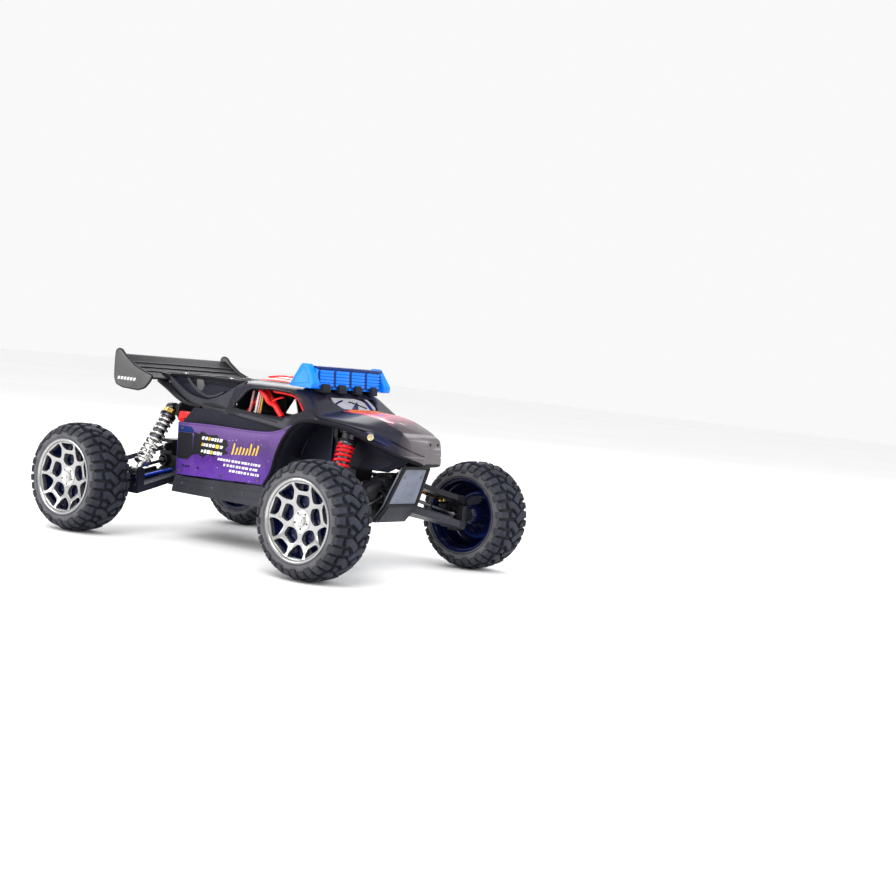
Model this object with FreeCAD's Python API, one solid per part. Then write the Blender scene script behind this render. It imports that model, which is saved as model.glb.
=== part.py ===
import FreeCAD, Part
import math
import os

from FreeCAD import Vector as V

# A one-tenth scale four-wheel-drive off-road buggy, in millimetres.
# +X points forward, +Y to the car's left, +Z up. The origin is on the ground, midway between
# the axles. Left-hand pieces are modelled and right-hand ones mirrored; the rear corner is
# modelled ahead of the origin and mirrored to the back.

# ---- driving dimensions -------------------------------------------------------------------
AXLE_X = 149.0            # half the wheelbase
WHEEL_Y = 118.0           # half the track, to the middle of the tyre
TYRE_R = 52.0
TYRE_W = 46.0
RIM_R = 35.5
RIM_W = 45.0
RIM_WALL = 2.5
HUB_Z = TYRE_R            # axle height with the tyres standing on z = 0

FLOOR_Z = 46.0            # underside of the chassis
FLOOR_T = 3.5
DECK_Z = FLOOR_Z + FLOOR_T
RAIL_Y = 60.0             # outside of the chassis rails

PIN_R = 1.5               # suspension hinge pins
PIN_FIT = 0.05            # running clearance on the radius
INNER_Y = 22.0            # inner hinge pins
LOWER_IN_Z = 60.0
UPPER_IN_Z = 84.0
ARM_RUN = 62.0            # sideways reach of every arm, pin to pin
ARM_DROP = 16.0           # the arms slope down outward by this much
OUTER_Y = INNER_Y + ARM_RUN
LOWER_OUT_Z = LOWER_IN_Z - ARM_DROP
UPPER_OUT_Z = UPPER_IN_Z - ARM_DROP
EYE_R = 4.0

KINGPIN_Y = 94.0
KINGPIN_R = 2.0
STEER_ARM = 21.0          # kingpin to tie rod eye, behind the axle
RACK_X = AXLE_X - STEER_ARM
TIE_OUT_Z = 63.7
TIE_IN_Z = TIE_OUT_Z + ARM_DROP
TIE_IN_Y = KINGPIN_Y - ARM_RUN
HORN_R = 38.0
HORN_Y = 20.0
SERVO_TOP = 80.0

SHOCK_X = 113.0
SHOCKS = {"front": {"top": (38.0, 126.0), "foot": (56.0, 61.0)},
          "rear": {"top": (40.0, 125.0), "foot": (80.0, 62.0)}}
COIL_R = 7.0
WIRE_R = 0.95
DAMPER_R = 5.6
SHOCK_PIN_CLEAR = 1.2     # loose lower eye, so that the damper can follow the arm

SHAFT_Z = 67.0            # propeller shaft down the middle
SHAFT_R = 2.5
GEAR_MODULE = 0.6
SPUR_TEETH = 54
PINION_TEETH = 20
BACKLASH = 0.14
GEAR_X = -26.0
MOTOR_R = 17.0

SHELL_T = 1.6             # wall of the moulded body
TOWER_X = 99.0
TOWER_T = 4.0
SPINE_Y = 17.0            # half-width of the gearboxes


# ---- small shape helpers ------------------------------------------------------------------
def box(x0, x1, y0, y1, z0, z1):
    return Part.makeBox(x1 - x0, y1 - y0, z1 - z0, V(x0, y0, z0))


def rod(start, end, radius):
    start, end = V(*start), V(*end)
    return Part.makeCylinder(radius, (end - start).Length, start, end - start)


def rod_x(x0, x1, y, z, radius):
    return rod((x0, y, z), (x1, y, z), radius)


def rod_y(y0, y1, x, z, radius):
    return rod((x, y0, z), (x, y1, z), radius)


def rod_z(z0, z1, x, y, radius):
    return rod((x, y, z0), (x, y, z1), radius)


def prism(points, push):
    """A closed outline of 3-D points, pushed along a vector."""
    corners = [V(*p) for p in points]
    return Part.Face(Part.makePolygon(corners + corners[:1])).extrude(V(*push))


def prism_side(points, y0, y1):
    return prism([(x, y0, z) for x, z in points], (0, y1 - y0, 0))


def prism_plan(points, z0, z1):
    return prism([(x, y, z0) for x, y in points], (0, 0, z1 - z0))


def prism_front(points, x0, x1):
    return prism([(x0, y, z) for y, z in points], (x1 - x0, 0, 0))


def fuse(first, *others):
    return first.multiFuse(list(others)).removeSplitter() if others else first


def cut(first, *others):
    for other in others:
        first = first.cut(other)
    return first


def mirror_y(shape):
    return shape.mirror(V(0, 0, 0), V(0, 1, 0))


def mirror_x(shape):
    return shape.mirror(V(0, 0, 0), V(1, 0, 0))


def spin(outline, y_shift=0.0):
    """Turn an (y, radius) outline about the Y axis."""
    corners = [V(0, y + y_shift, r) for y, r in outline]
    face = Part.Face(Part.makePolygon(corners + corners[:1]))
    return face.revolve(V(0, 0, 0), V(0, 1, 0), 360)


def hexagon_y(y0, y1, x, z, across_flats):
    corner_r = across_flats / math.sqrt(3)
    points = []
    for i in range(6):
        angle = math.radians(60 * i)
        points.append((x + corner_r * math.cos(angle), y0, z + corner_r * math.sin(angle)))
    return prism(points, (0, y1 - y0, 0))


# ---- suspension ---------------------------------------------------------------------------
def sloped_slab(y0, y1, z_in, above, below):
    """A wide slab that lies along the slope of the arms."""
    slope = -ARM_DROP / ARM_RUN
    z0 = z_in + slope * (y0 - INNER_Y)
    z1 = z_in + slope * (y1 - INNER_Y)
    return prism_front([(y0, z0 - below), (y1, z1 - below), (y1, z1 + above), (y0, z0 + above)],
                       90, 175)


def lower_arm(foot, plan, inner_eye):
    """A wide lower wishbone: inner eye, fork for the hub block, ears for the damper."""
    arm = prism_plan(plan, 20, 90).common(sloped_slab(INNER_Y, OUTER_Y, LOWER_IN_Z, 3.2, 3.2))
    for pocket_x, pocket_y, size_x, size_y in ((125, 38, 20, 14), (136, 60, 16, 12)):
        pocket = box(pocket_x - size_x / 2, pocket_x + size_x / 2,
                     pocket_y - size_y / 2, pocket_y + size_y / 2, 20, 90)
        arm = arm.cut(pocket.common(sloped_slab(INNER_Y, OUTER_Y, LOWER_IN_Z, 8, -0.2)))
    ear_gap = 8.3
    ear_t = 4.0
    eyes = [rod_x(inner_eye[0], inner_eye[1], INNER_Y, LOWER_IN_Z, EYE_R)]
    for x in (AXLE_X - ear_gap - ear_t, AXLE_X + ear_gap):
        eyes.append(rod_x(x, x + ear_t, OUTER_Y, LOWER_OUT_Z, EYE_R))
    foot_y, foot_z = foot
    for x in (SHOCK_X - 7.5, SHOCK_X + 4.5):
        eyes.append(rod_x(x, x + 3, foot_y, foot_z, EYE_R))
        deck = LOWER_IN_Z - ARM_DROP / ARM_RUN * (foot_y - INNER_Y)
        eyes.append(box(x, x + 3, foot_y - EYE_R, foot_y + EYE_R, deck, foot_z))
    arm = fuse(arm, *eyes)
    fork = box(AXLE_X - ear_gap, AXLE_X + ear_gap, OUTER_Y - 8, OUTER_Y + 20, 20, 90)
    bores = [rod_x(90, 160, INNER_Y, LOWER_IN_Z, PIN_R + PIN_FIT)]
    arm = cut(arm, fork, *bores)
    outer_pin = rod_x(AXLE_X - ear_gap - ear_t, AXLE_X + ear_gap + ear_t, OUTER_Y, LOWER_OUT_Z, PIN_R)
    foot_pin = rod_x(SHOCK_X - 7.5, SHOCK_X + 7.5, foot_y, foot_z, PIN_R)
    return fuse(arm, outer_pin, foot_pin)


def upper_arm():
    """A slim upper link with an inner eye and a fork around the hub block."""
    plan = [(136, INNER_Y), (145, INNER_Y), (149, 50), (159, 74), (159, OUTER_Y),
            (139, OUTER_Y), (139, 74), (137.5, 50)]
    arm = prism_plan(plan, 40, 110).common(sloped_slab(INNER_Y, OUTER_Y, UPPER_IN_Z, 2.5, 2.5))
    ear_gap = 6.3
    ear_t = 3.7
    eyes = [rod_x(135, 146, INNER_Y, UPPER_IN_Z, EYE_R)]
    for x in (AXLE_X - ear_gap - ear_t, AXLE_X + ear_gap):
        eyes.append(rod_x(x, x + ear_t, OUTER_Y, UPPER_OUT_Z, EYE_R))
    arm = fuse(arm, *eyes)
    fork = box(AXLE_X - ear_gap, AXLE_X + ear_gap, OUTER_Y - 9, OUTER_Y + 20, 40, 110)
    arm = cut(arm, fork, rod_x(130, 150, INNER_Y, UPPER_IN_Z, PIN_R + PIN_FIT))
    pin = rod_x(AXLE_X - ear_gap - ear_t, AXLE_X + ear_gap + ear_t, OUTER_Y, UPPER_OUT_Z, PIN_R)
    return fuse(arm, pin)


def hub_block():
    """The upright plate that both arms hold, with a hole for the drive shaft."""
    lower = rod_x(AXLE_X - 8, AXLE_X + 8, OUTER_Y, LOWER_OUT_Z, EYE_R)
    upper = rod_x(AXLE_X - 6, AXLE_X + 6, OUTER_Y, UPPER_OUT_Z, EYE_R)
    web = box(AXLE_X - 8, AXLE_X + 8, 81.5, 86.5, LOWER_OUT_Z, 63)
    neck = box(AXLE_X - 6, AXLE_X + 6, 81.5, 86.5, 60, UPPER_OUT_Z)
    block = fuse(lower, upper, web, neck)
    return cut(block, rod_x(130, 170, OUTER_Y, LOWER_OUT_Z, PIN_R + PIN_FIT),
               rod_x(130, 170, OUTER_Y, UPPER_OUT_Z, PIN_R + PIN_FIT))


def caster_block():
    """Front hub block: a C with two ears that hold the kingpins."""
    block = hub_block()
    ears = [box(AXLE_X - 6, AXLE_X + 6, 84, KINGPIN_Y, 38, 42.5),
            rod_z(38, 42.5, AXLE_X, KINGPIN_Y, 6),
            box(AXLE_X - 6, AXLE_X + 6, 86, KINGPIN_Y, 62, 66),
            rod_z(62, 66, AXLE_X, KINGPIN_Y, 6)]
    block = fuse(block, *ears)
    return cut(block, rod_z(30, 75, AXLE_X, KINGPIN_Y, KINGPIN_R + PIN_FIT),
               rod_y(70, 90, AXLE_X, 53.5, 5.5), rod_z(42.5, 62, AXLE_X, KINGPIN_Y, 7.4),
               rod_x(130, 170, OUTER_Y, LOWER_OUT_Z, PIN_R + PIN_FIT))


def axle_barrel(y0):
    return rod_y(y0, 105, AXLE_X, HUB_Z, 6.5)


def steering_knuckle():
    """Turns on the kingpins, carries the front axle, and reaches back to the tie rod."""
    post = rod_z(43, 61.5, AXLE_X, KINGPIN_Y, 7)
    reach = box(RACK_X, AXLE_X, KINGPIN_Y - 3.5, KINGPIN_Y + 3.5, 56, 60.5)
    boss = rod_z(56, 60.5, RACK_X, KINGPIN_Y, 4)
    ball_pin = rod_z(60, 67, RACK_X, KINGPIN_Y, PIN_R)
    head = rod_z(67, 68.2, RACK_X, KINGPIN_Y, 2.3)
    kingpins = [rod_z(38.5, 43.5, AXLE_X, KINGPIN_Y, KINGPIN_R),
                rod_z(61, 65.5, AXLE_X, KINGPIN_Y, KINGPIN_R)]
    body = fuse(post, axle_barrel(KINGPIN_Y), reach, boss, ball_pin, head, *kingpins)
    return cut(body, rod_y(86.9, 110, AXLE_X, HUB_Z, SHAFT_R + PIN_FIT))


def hub_carrier():
    """Rear hub block with its axle barrel in one piece."""
    block = fuse(hub_block(), axle_barrel(84), box(AXLE_X - 5, AXLE_X + 5, 84, 98, 44, 60))
    return cut(block, rod_y(70, 110, AXLE_X, HUB_Z, SHAFT_R + PIN_FIT),
               rod_x(130, 170, OUTER_Y, LOWER_OUT_Z, PIN_R + PIN_FIT))


def tie_rod():
    """Turnbuckle from the sliding rack to the knuckle, with a loose outer eye."""
    inner = (RACK_X, TIE_IN_Y, TIE_IN_Z)
    outer = (RACK_X, KINGPIN_Y, TIE_OUT_Z)
    run = (V(*outer) - V(*inner)).normalize()
    start = V(*inner) + run * 2.5
    end = V(*outer) - run * 3.6
    bar = rod(tuple(start), tuple(end), 1.3)
    middle = (V(*inner) + V(*outer)) * 0.5
    nut = rod(tuple(middle - run * 4), tuple(middle + run * 4), 2.5)
    inner_eye = rod_x(RACK_X - 1.6, RACK_X + 1.6, TIE_IN_Y, TIE_IN_Z, 3.0)
    outer_eye = rod_z(TIE_OUT_Z - 1.5, TIE_OUT_Z + 1.5, RACK_X, KINGPIN_Y, 4.8)
    link = fuse(bar, nut, inner_eye, outer_eye)
    return cut(link, rod_x(RACK_X - 5, RACK_X + 5, TIE_IN_Y, TIE_IN_Z, 1.2 + PIN_FIT),
               rod_z(50, 80, RACK_X, KINGPIN_Y, 3.0))


# ---- dampers ------------------------------------------------------------------------------
class Shock:
    """One coil-over damper, measured along its own axis from the upper eye."""

    def __init__(self, end):
        top_y, top_z = SHOCKS[end]["top"]
        foot_y, foot_z = SHOCKS[end]["foot"]
        self.top = V(SHOCK_X, top_y, top_z)
        self.foot = V(SHOCK_X, foot_y, foot_z)
        self.run = self.foot - self.top
        self.length = self.run.Length
        self.run.normalize()
        self.tube_end = 0.52 * self.length
        self.piston = 0.35 * self.length
        self.perch = self.length - 11.5

    def piece(self, s0, s1, radius):
        return rod(tuple(self.top + self.run * s0), tuple(self.top + self.run * s1), radius)

    def cylinder(self):
        collars = [self.piece(4.0, 9.0, 6.2), self.piece(11.0, 13.0, 7.9)]
        eye = rod_x(SHOCK_X - 4, SHOCK_X + 4, self.top.y, self.top.z, 4.6)
        tube = fuse(self.piece(6, self.tube_end, DAMPER_R), eye, *collars)
        return cut(tube, self.piece(10.5, self.tube_end - 2.5, DAMPER_R - 1.1),
                   self.piece(self.tube_end - 5, self.tube_end + 5, 1.5 + PIN_FIT),
                   rod_x(90, 130, self.top.y, self.top.z, PIN_R + PIN_FIT))

    def rod(self):
        eye = rod_x(SHOCK_X - 4, SHOCK_X + 4, self.foot.y, self.foot.z, 4.4)
        shaft = self.piece(self.piston, self.length - 3.4, 1.5)
        head = self.piece(self.piston, self.piston + 2.2, DAMPER_R - 1.2)
        cup = self.piece(self.perch, self.perch + 2.0, 7.9)
        neck = self.piece(self.perch + 1.5, self.length - 3.4, 2.8)
        return cut(fuse(shaft, head, cup, neck, eye),
                   rod_x(90, 130, self.foot.y, self.foot.z, PIN_R + SHOCK_PIN_CLEAR))

    def spring(self):
        s0 = 13.0 + WIRE_R + 0.05
        height = self.perch - WIRE_R - 0.05 - s0
        turns = 6.0
        helix = Part.makeHelix(height / turns, height, COIL_R)
        section = Part.Wire(Part.makeCircle(WIRE_R, V(COIL_R, 0, 0), V(0, 1, 0)))
        coil = Part.Wire(helix).makePipeShell([section], True, True)
        turn = FreeCAD.Rotation(V(0, 0, 1), self.run)
        coil.Placement = FreeCAD.Placement(self.top + self.run * s0, turn)
        return coil


# ---- wheels -------------------------------------------------------------------------------
def at_wheel(shape):
    shape = shape.copy()
    shape.translate(V(AXLE_X, WHEEL_Y, HUB_Z))
    return shape


def wheel_rim():
    """One-piece rim: barrel, outer web with rings of round windows, and the hub."""
    half = RIM_W / 2
    barrel = spin([(-half, RIM_R - RIM_WALL), (half, RIM_R - RIM_WALL), (half, RIM_R), (-half, RIM_R)])
    web = spin([(12, 6), (16, RIM_R - 1.5), (12.5, RIM_R - 1.5), (8, 6)])
    hub = rod_y(-8, 13, 0, 0, 8.5)
    rim = fuse(barrel, web, hub)
    windows = []
    for count, ring_r, hole_r, phase in ((5, 17.0, 5.8, 0.0), (10, 27.0, 3.9, 18.0)):
        for i in range(count):
            angle = math.radians(phase + 360 * i / count)
            windows.append(rod_y(0, 25, ring_r * math.cos(angle), ring_r * math.sin(angle), hole_r))
    return at_wheel(cut(rim, rod_y(-20, 20, 0, 0, SHAFT_R), *windows))


def tyre():
    """A ring with a flat crown and rounded shoulders, hollow over the rim."""
    half = TYRE_W / 2
    arc = Part.Arc(V(0, half - 1, 41), V(0, half - 1.5, 47.0), V(0, half - 6, TYRE_R - 1.2)).toShape()
    arc_back = Part.Arc(V(0, 6 - half, TYRE_R - 1.2), V(0, 1.5 - half, 47.0), V(0, 1 - half, 41)).toShape()
    crown = Part.Arc(V(0, half - 6, TYRE_R - 1.2), V(0, 0, TYRE_R), V(0, 6 - half, TYRE_R - 1.2)).toShape()
    low = Part.makePolygon([V(0, 1 - half, 41), V(0, -half, 38.5), V(0, -half + 0.5, RIM_R),
                            V(0, half - 0.5, RIM_R), V(0, half, 38.5), V(0, half - 1, 41)])
    outline = Part.Wire([arc, crown, arc_back] + low.Edges)
    ring = Part.Face(outline).revolve(V(0, 0, 0), V(0, 1, 0), 360)
    return at_wheel(ring.cut(rod_y(7 - half, half - 7, 0, 0, TYRE_R - 5)))


def wheel_axle():
    """Stub axle, driving hexagon and wheel nut, as one turning group."""
    stub = rod_y(-29, 19, 0, 0, SHAFT_R)
    hexagon = hexagon_y(-12, -8, 0, 0, 12)
    nut = fuse(rod_y(13, 14.2, 0, 0, 5.2), hexagon_y(14, 18, 0, 0, 8))
    return at_wheel(fuse(stub, hexagon, nut))


# ---- drive train --------------------------------------------------------------------------
def gear(teeth, width, phase):
    """An involute spur gear about the X axis; phase turns it by that many teeth."""
    pitch_r = GEAR_MODULE * teeth / 2
    base_r = pitch_r * math.cos(math.radians(20))
    tip_r = pitch_r + GEAR_MODULE
    root_r = pitch_r - 1.25 * GEAR_MODULE

    def spread(radius):
        """Half the angle that a tooth takes up at this radius."""
        if radius <= base_r:
            radius = base_r
        pressure = math.acos(base_r / radius)
        pitch_pressure = math.radians(20)
        half_pitch = math.pi / (2 * teeth) - BACKLASH / (4 * pitch_r)
        turn = (math.tan(pitch_pressure) - pitch_pressure) - (math.tan(pressure) - pressure)
        return half_pitch + turn

    steps = 6
    radii = [root_r] + [max(base_r, root_r) + (tip_r - max(base_r, root_r)) * i / steps
                        for i in range(steps + 1)]
    points = []
    for tooth in range(teeth):
        middle = 2 * math.pi * (tooth + phase) / teeth
        for radius in radii:
            points.append((middle - spread(radius), radius))
        for radius in reversed(radii):
            points.append((middle + spread(radius), radius))
    corners = [V(0, r * math.cos(a), r * math.sin(a)) for a, r in points]
    return Part.Face(Part.makePolygon(corners + corners[:1])).extrude(V(width, 0, 0))


def centre_drive_shaft():
    """Propeller shaft between the gearboxes, with the spur gear on its hub."""
    spur = gear(SPUR_TEETH, 5, 0)
    spur.translate(V(GEAR_X, 0, SHAFT_Z))
    for i in range(6):
        angle = math.radians(60 * i)
        spur = spur.cut(rod_x(GEAR_X - 5, GEAR_X + 10, 10 * math.cos(angle),
                              SHAFT_Z + 10 * math.sin(angle), 3))
    hub = rod_x(GEAR_X - 4, GEAR_X + 9, 0, SHAFT_Z, 4.5)
    return fuse(rod_x(-111, 111, 0, SHAFT_Z, SHAFT_R), hub, spur)


def motor_axis_y():
    return GEAR_MODULE * (SPUR_TEETH + PINION_TEETH) / 2


def motor_pinion():
    pinion = gear(PINION_TEETH, 7, 0.5)
    pinion.translate(V(GEAR_X - 1, motor_axis_y(), SHAFT_Z))
    shaft = rod_x(-48, GEAR_X + 8, motor_axis_y(), SHAFT_Z, 1.6)
    return fuse(pinion, shaft)


def motor():
    """A round can with an end bell, cooling slots and a bearing boss."""
    y = motor_axis_y()
    can = fuse(rod_x(-84, -34, y, SHAFT_Z, MOTOR_R), rod_x(-34, -31.5, y, SHAFT_Z, 5.5))
    for i in range(8):
        angle = math.radians(45 * i + 22.5)
        slot = rod_x(-80, -74, y + 14.5 * math.cos(angle), SHAFT_Z + 14.5 * math.sin(angle), 4)
        can = can.cut(slot)
    groove = rod_x(-73, -71.5, y, SHAFT_Z, MOTOR_R + 1).cut(rod_x(-74, -70, y, SHAFT_Z, MOTOR_R - 1))
    return cut(can, groove, rod_x(-50, -30, y, SHAFT_Z, 1.6 + PIN_FIT))


def hinge_lugs(eye_ends, z, pin_out):
    """Two lugs with the fixed hinge pin between them, on both sides of a gearbox."""
    shapes = []
    for side in (1, -1):
        y = side * INNER_Y
        for x0, x1 in ((eye_ends[0] - pin_out, eye_ends[0] - 0.3), (eye_ends[1] + 0.3, eye_ends[1] + pin_out)):
            shapes.append(box(x0, x1, min(0, y), max(0, y), z - EYE_R, z + EYE_R))
            shapes.append(rod_x(x0, x1, y, z, EYE_R))
        shapes.append(rod_x(eye_ends[0] - pin_out, eye_ends[1] + pin_out, y, z, PIN_R))
    return shapes


LOWER_EYE = (107.0, 137.0)
UPPER_EYE = (135.0, 146.0)


def gearbox(tower_block):
    """Differential housing with the inner hinge pins, output bosses and a top block."""
    outline = [(TOWER_X + TOWER_T, DECK_Z), (135.5, DECK_Z), (144.2, 62.5), (149.5, 76), (149.5, 91),
               (133, 91), (132.6, 75.6), (TOWER_X + TOWER_T, 75.6)]
    case = prism_side(outline, -SPINE_Y, SPINE_Y)
    parts = hinge_lugs(LOWER_EYE, LOWER_IN_Z, 3.0) + hinge_lugs(UPPER_EYE, UPPER_IN_Z, 2.2)
    outputs = [rod_y(-20.5, 20.5, 141, 70, 6.0)]
    if tower_block:
        parts.append(box(TOWER_X + TOWER_T, 119, -SPINE_Y + 3, SPINE_Y - 3, 75, 88))
    case = fuse(case, *(parts + outputs))
    bore = rod_x(90, 113, 0, SHAFT_Z, SHAFT_R + PIN_FIT + 0.03)
    sockets = [rod_y(14, 30, 141, 70, 4.2), rod_y(-30, -14, 141, 70, 4.2)]
    return cut(case, bore, *sockets)


def shock_tower(end, half_top, crown):
    """A flat plate bolted behind the gearbox that holds the upper damper pins."""
    top_y, top_z = SHOCKS[end]["top"]
    half = [(0, crown - 5), (12, crown - 4), (22, crown - 1), (half_top - 5, crown), (half_top, crown - 4),
            (half_top, top_z - 6), (24, 95), (12, 90), (12, 77), (SPINE_Y, 75), (SPINE_Y, DECK_Z)]
    outline = half + [(-y, z) for y, z in reversed(half[1:])]
    plate = prism_front(outline, TOWER_X, TOWER_X + TOWER_T)
    for y in (0, 22, -22):
        plate = plate.cut(rod_x(90, 110, y, 110, 5.5))
    plate = plate.cut(rod_x(90, 110, 0, SHAFT_Z, SHAFT_R + 1.2))
    pins = []
    for side in (1, -1):
        pins.append(rod_x(TOWER_X + 1, SHOCK_X + 5.5, side * top_y, top_z, PIN_R))
        pins.append(rod_x(TOWER_X + TOWER_T - 0.5, SHOCK_X - 4.4, side * top_y, top_z, 3.2))
        pins.append(rod_x(SHOCK_X + 4.4, SHOCK_X + 6.4, side * top_y, top_z, 3.2))
    return fuse(plate, *pins)


# ---- steering -----------------------------------------------------------------------------
def steering_rack():
    """Cross bar that slides over the front gearbox and carries both tie rods."""
    bar = box(RACK_X - 5, RACK_X + 4, -36, 36, TIE_IN_Z - 3.2, TIE_IN_Z + 2.8)
    for side in (1, -1):
        y0, y1 = sorted((side * (TIE_IN_Y - 4), side * 40))
        bar = bar.cut(box(RACK_X - 2.0, RACK_X + 2.0, y0, y1, 60, 100))
        bar = fuse(bar, rod_x(RACK_X - 5, RACK_X + 4, side * TIE_IN_Y, TIE_IN_Z, 1.2))
    slot = box(RACK_X - 2.8, RACK_X + 2.0, HORN_Y - 2.0, HORN_Y + 2.0, 60, 100)
    return bar.cut(slot)


def servo_horn():
    pivot_x = RACK_X - HORN_R
    hub = rod_z(SERVO_TOP + 1.2, SERVO_TOP + 6.8, pivot_x, HORN_Y, 5)
    arm = prism_plan([(pivot_x, HORN_Y - 4), (RACK_X, HORN_Y - 2.8), (RACK_X, HORN_Y + 2.8),
                      (pivot_x, HORN_Y + 4)], SERVO_TOP + 3.6, SERVO_TOP + 6.8)
    tip = rod_z(SERVO_TOP + 3.6, SERVO_TOP + 6.8, RACK_X, HORN_Y, 2.8)
    pin = rod_z(TIE_IN_Z - 3, SERVO_TOP + 5, RACK_X, HORN_Y, PIN_R)
    return fuse(hub, arm, tip, pin)


def steering_servo():
    """Servo case with its fixing ears and output boss."""
    case = box(58, 98, 10, 30, DECK_Z, SERVO_TOP - 2)
    ears = box(53, 98.8, 10.5, 29.5, 66, 69)
    boss = rod_z(SERVO_TOP - 3, SERVO_TOP + 0.9, RACK_X - HORN_R, HORN_Y, 5.5)
    return fuse(case, ears, boss).cut(rod_z(60, 75, 55.5, 20, 1.6))


# ---- chassis and electrics ----------------------------------------------------------------
def chassis_tub():
    """Flat floor with raised side rails, a motor plate and battery walls."""
    half = [(-134, 16.5), (-103, 16.5), (-100, 24), (-84, RAIL_Y), (36, RAIL_Y), (60, 46), (101, 24),
            (103, 16.5), (134, 16.5)]
    floor = prism_plan(half + [(x, -y) for x, y in reversed(half)], FLOOR_Z, DECK_Z)
    rail_side = [(-84, 48), (-81, 61.3), (34, 65.3), (39, 61), (36, 48)]
    rail = prism_side(rail_side, RAIL_Y - 5, RAIL_Y)
    motor_plate = box(-34, -31, 6, 40, DECK_Z - 1, 86)
    y = motor_axis_y()
    motor_plate = cut(motor_plate, rod_x(-40, -30, y, SHAFT_Z, 6), rod_x(-40, -30, 0, SHAFT_Z, 7))
    end_walls = [box(-82, -79.5, -54, -17.5, DECK_Z - 1, 60), box(31.5, 34, -54, -17.5, DECK_Z - 1, 60)]
    tub = fuse(floor, rail, mirror_y(rail), motor_plate, *end_walls)
    slots = [box(x, x + 12, -8, 8, FLOOR_Z - 1, DECK_Z + 1) for x in (44, 66)]
    return cut(tub, *slots)


def front_skid_plate():
    """Slanted nose plate in front of the gearbox, with a rolled top edge."""
    outline = [(134, FLOOR_Z), (138.5, FLOOR_Z), (149.8, 62.6), (163.5, 99), (159.8, 99), (146.2, 63.6),
               (136.6, DECK_Z), (134, DECK_Z)]
    wide = prism_side(outline, -22, 22)
    face = [(-22, 40), (22, 40), (22, 70), (17.5, 103), (-17.5, 103), (-22, 70)]
    plate = wide.common(prism_front(face, 130, 170))
    ribs = []
    for y in (-11, 0, 11):
        ribs.append(box(151, 153.4, y - 1, y + 1, 76, 84))
    edge = rod((161.6, -17, 99.3), (161.6, 17, 99.3), 2.0)
    return fuse(plate, edge)


def battery_pack():
    cells = box(-79, 31, -53.5, -18.5, DECK_Z, 73)
    edges = [e for e in cells.Edges if abs(e.Vertexes[0].X - e.Vertexes[1].X) > 50]
    return fuse(cells.makeFillet(5, edges), box(31, 36, -40, -30, 60, 68))


def speed_controller():
    """Flat case with cooling fins on top and a well for the switch."""
    case = box(0, 40, 16, 48, DECK_Z, 63)
    fins = [box(4, 26, 18 + 4 * i, 20 + 4 * i, 62, 69) for i in range(7)]
    case = fuse(case, *fins)
    return case.cut(box(29, 38, 29, 35, 60, 70))


def power_switch():
    """Sliding button that sits in the controller's well."""
    return fuse(box(30, 34, 29.4, 34.6, 60.3, 63.5), box(30.6, 33.4, 30, 34, 63, 66))


# ---- body ---------------------------------------------------------------------------------
# Each station: x, then (half-width, height) of the top edge, the shoulder and the lower edge.
STATIONS = [
    (-24, (33, 158), (45, 155), (57, 128)),
    (-10, (36, 160), (48, 156.5), (58, 127)),
    (30, (38, 160), (50, 157), (59, 123)),
    (60, (39, 160), (50.5, 156.5), (60, 119.5)),
    (72, (36, 156.5), (50, 153), (60, 129)),
    (93, (24, 142), (60, 136), (61, 131.5)),
    (121, (22, 141), (50, 132.5), (51, 127.5)),
    (138, (20, 138.5), (42, 130), (43, 120)),
    (156, (16, 134), (30, 124), (31, 110.5)),
    (169, (14, 130), (22, 117), (23, 106)),
    (179, (10, 125), (16, 113), (16.5, 103)),
]


def loft(stations):
    """A closed solid of flat triangles through the stations."""
    rings = []
    for x, top, shoulder, low in stations:
        half = [low, shoulder, top]
        rings.append([V(x, y, z) for y, z in half] + [V(x, -y, z) for y, z in reversed(half)])
    corners = []
    for near, far in zip(rings, rings[1:]):
        for i in range(len(near)):
            j = (i + 1) % len(near)
            corners.append([near[i], near[j], far[j]])
            corners.append([near[i], far[j], far[i]])
    corners += [rings[0], rings[-1]]
    faces = [Part.Face(Part.makePolygon(ring + ring[:1])) for ring in corners]
    return Part.Solid(Part.makeShell(faces))


def body_envelope():
    return loft(STATIONS)


def body_hollow():
    """The same stations drawn in by the wall, and taken below the lower edge."""
    inner = []
    for x, top, shoulder, low in STATIONS:
        t = SHELL_T
        inner.append((x, (top[0] - t * 0.4, top[1] - t * 1.1), (shoulder[0] - t, shoulder[1] - t),
                      (low[0] - t, low[1] - 8)))
    inner[0] = (inner[0][0] - 3, ) + inner[0][1:]
    inner[-1] = (inner[-1][0] - 2.5, ) + inner[-1][1:]
    return loft(inner)


def boom():
    """Side boom from the cab back to the wing: a low arc, a top bar and a brace."""
    arc = [(-24, 157), (-30, 147), (-45, 137.5), (-62, 134.5), (-86, 138.5), (-102, 146.5), (-114, 154),
           (-114, 149.5), (-104, 142), (-86, 133.5), (-64, 129), (-44, 128), (-20, 128), (-20, 157)]
    bar = [(-20, 160), (-60, 160), (-114, 158), (-114, 153), (-60, 156), (-20, 155)]
    brace = [(-84, 157), (-78, 157), (-66, 148), (-58, 137), (-60, 133), (-68, 134), (-72, 147)]
    shapes = [prism_side(outline, 42, 47) for outline in (arc, bar, brace)]
    return fuse(*shapes)


def window_side():
    outline = [(-17, 133), (-1, 154), (27, 155), (56, 154), (74, 139), (45, 128.5), (24, 130)]
    return prism_side(outline, -80, 80)


def window_front():
    """Prism through the sloping screen alone, wider at the top."""
    return prism_front([(-27, 143.5), (27, 143.5), (36, 154), (-36, 154)], 66, 110)


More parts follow.
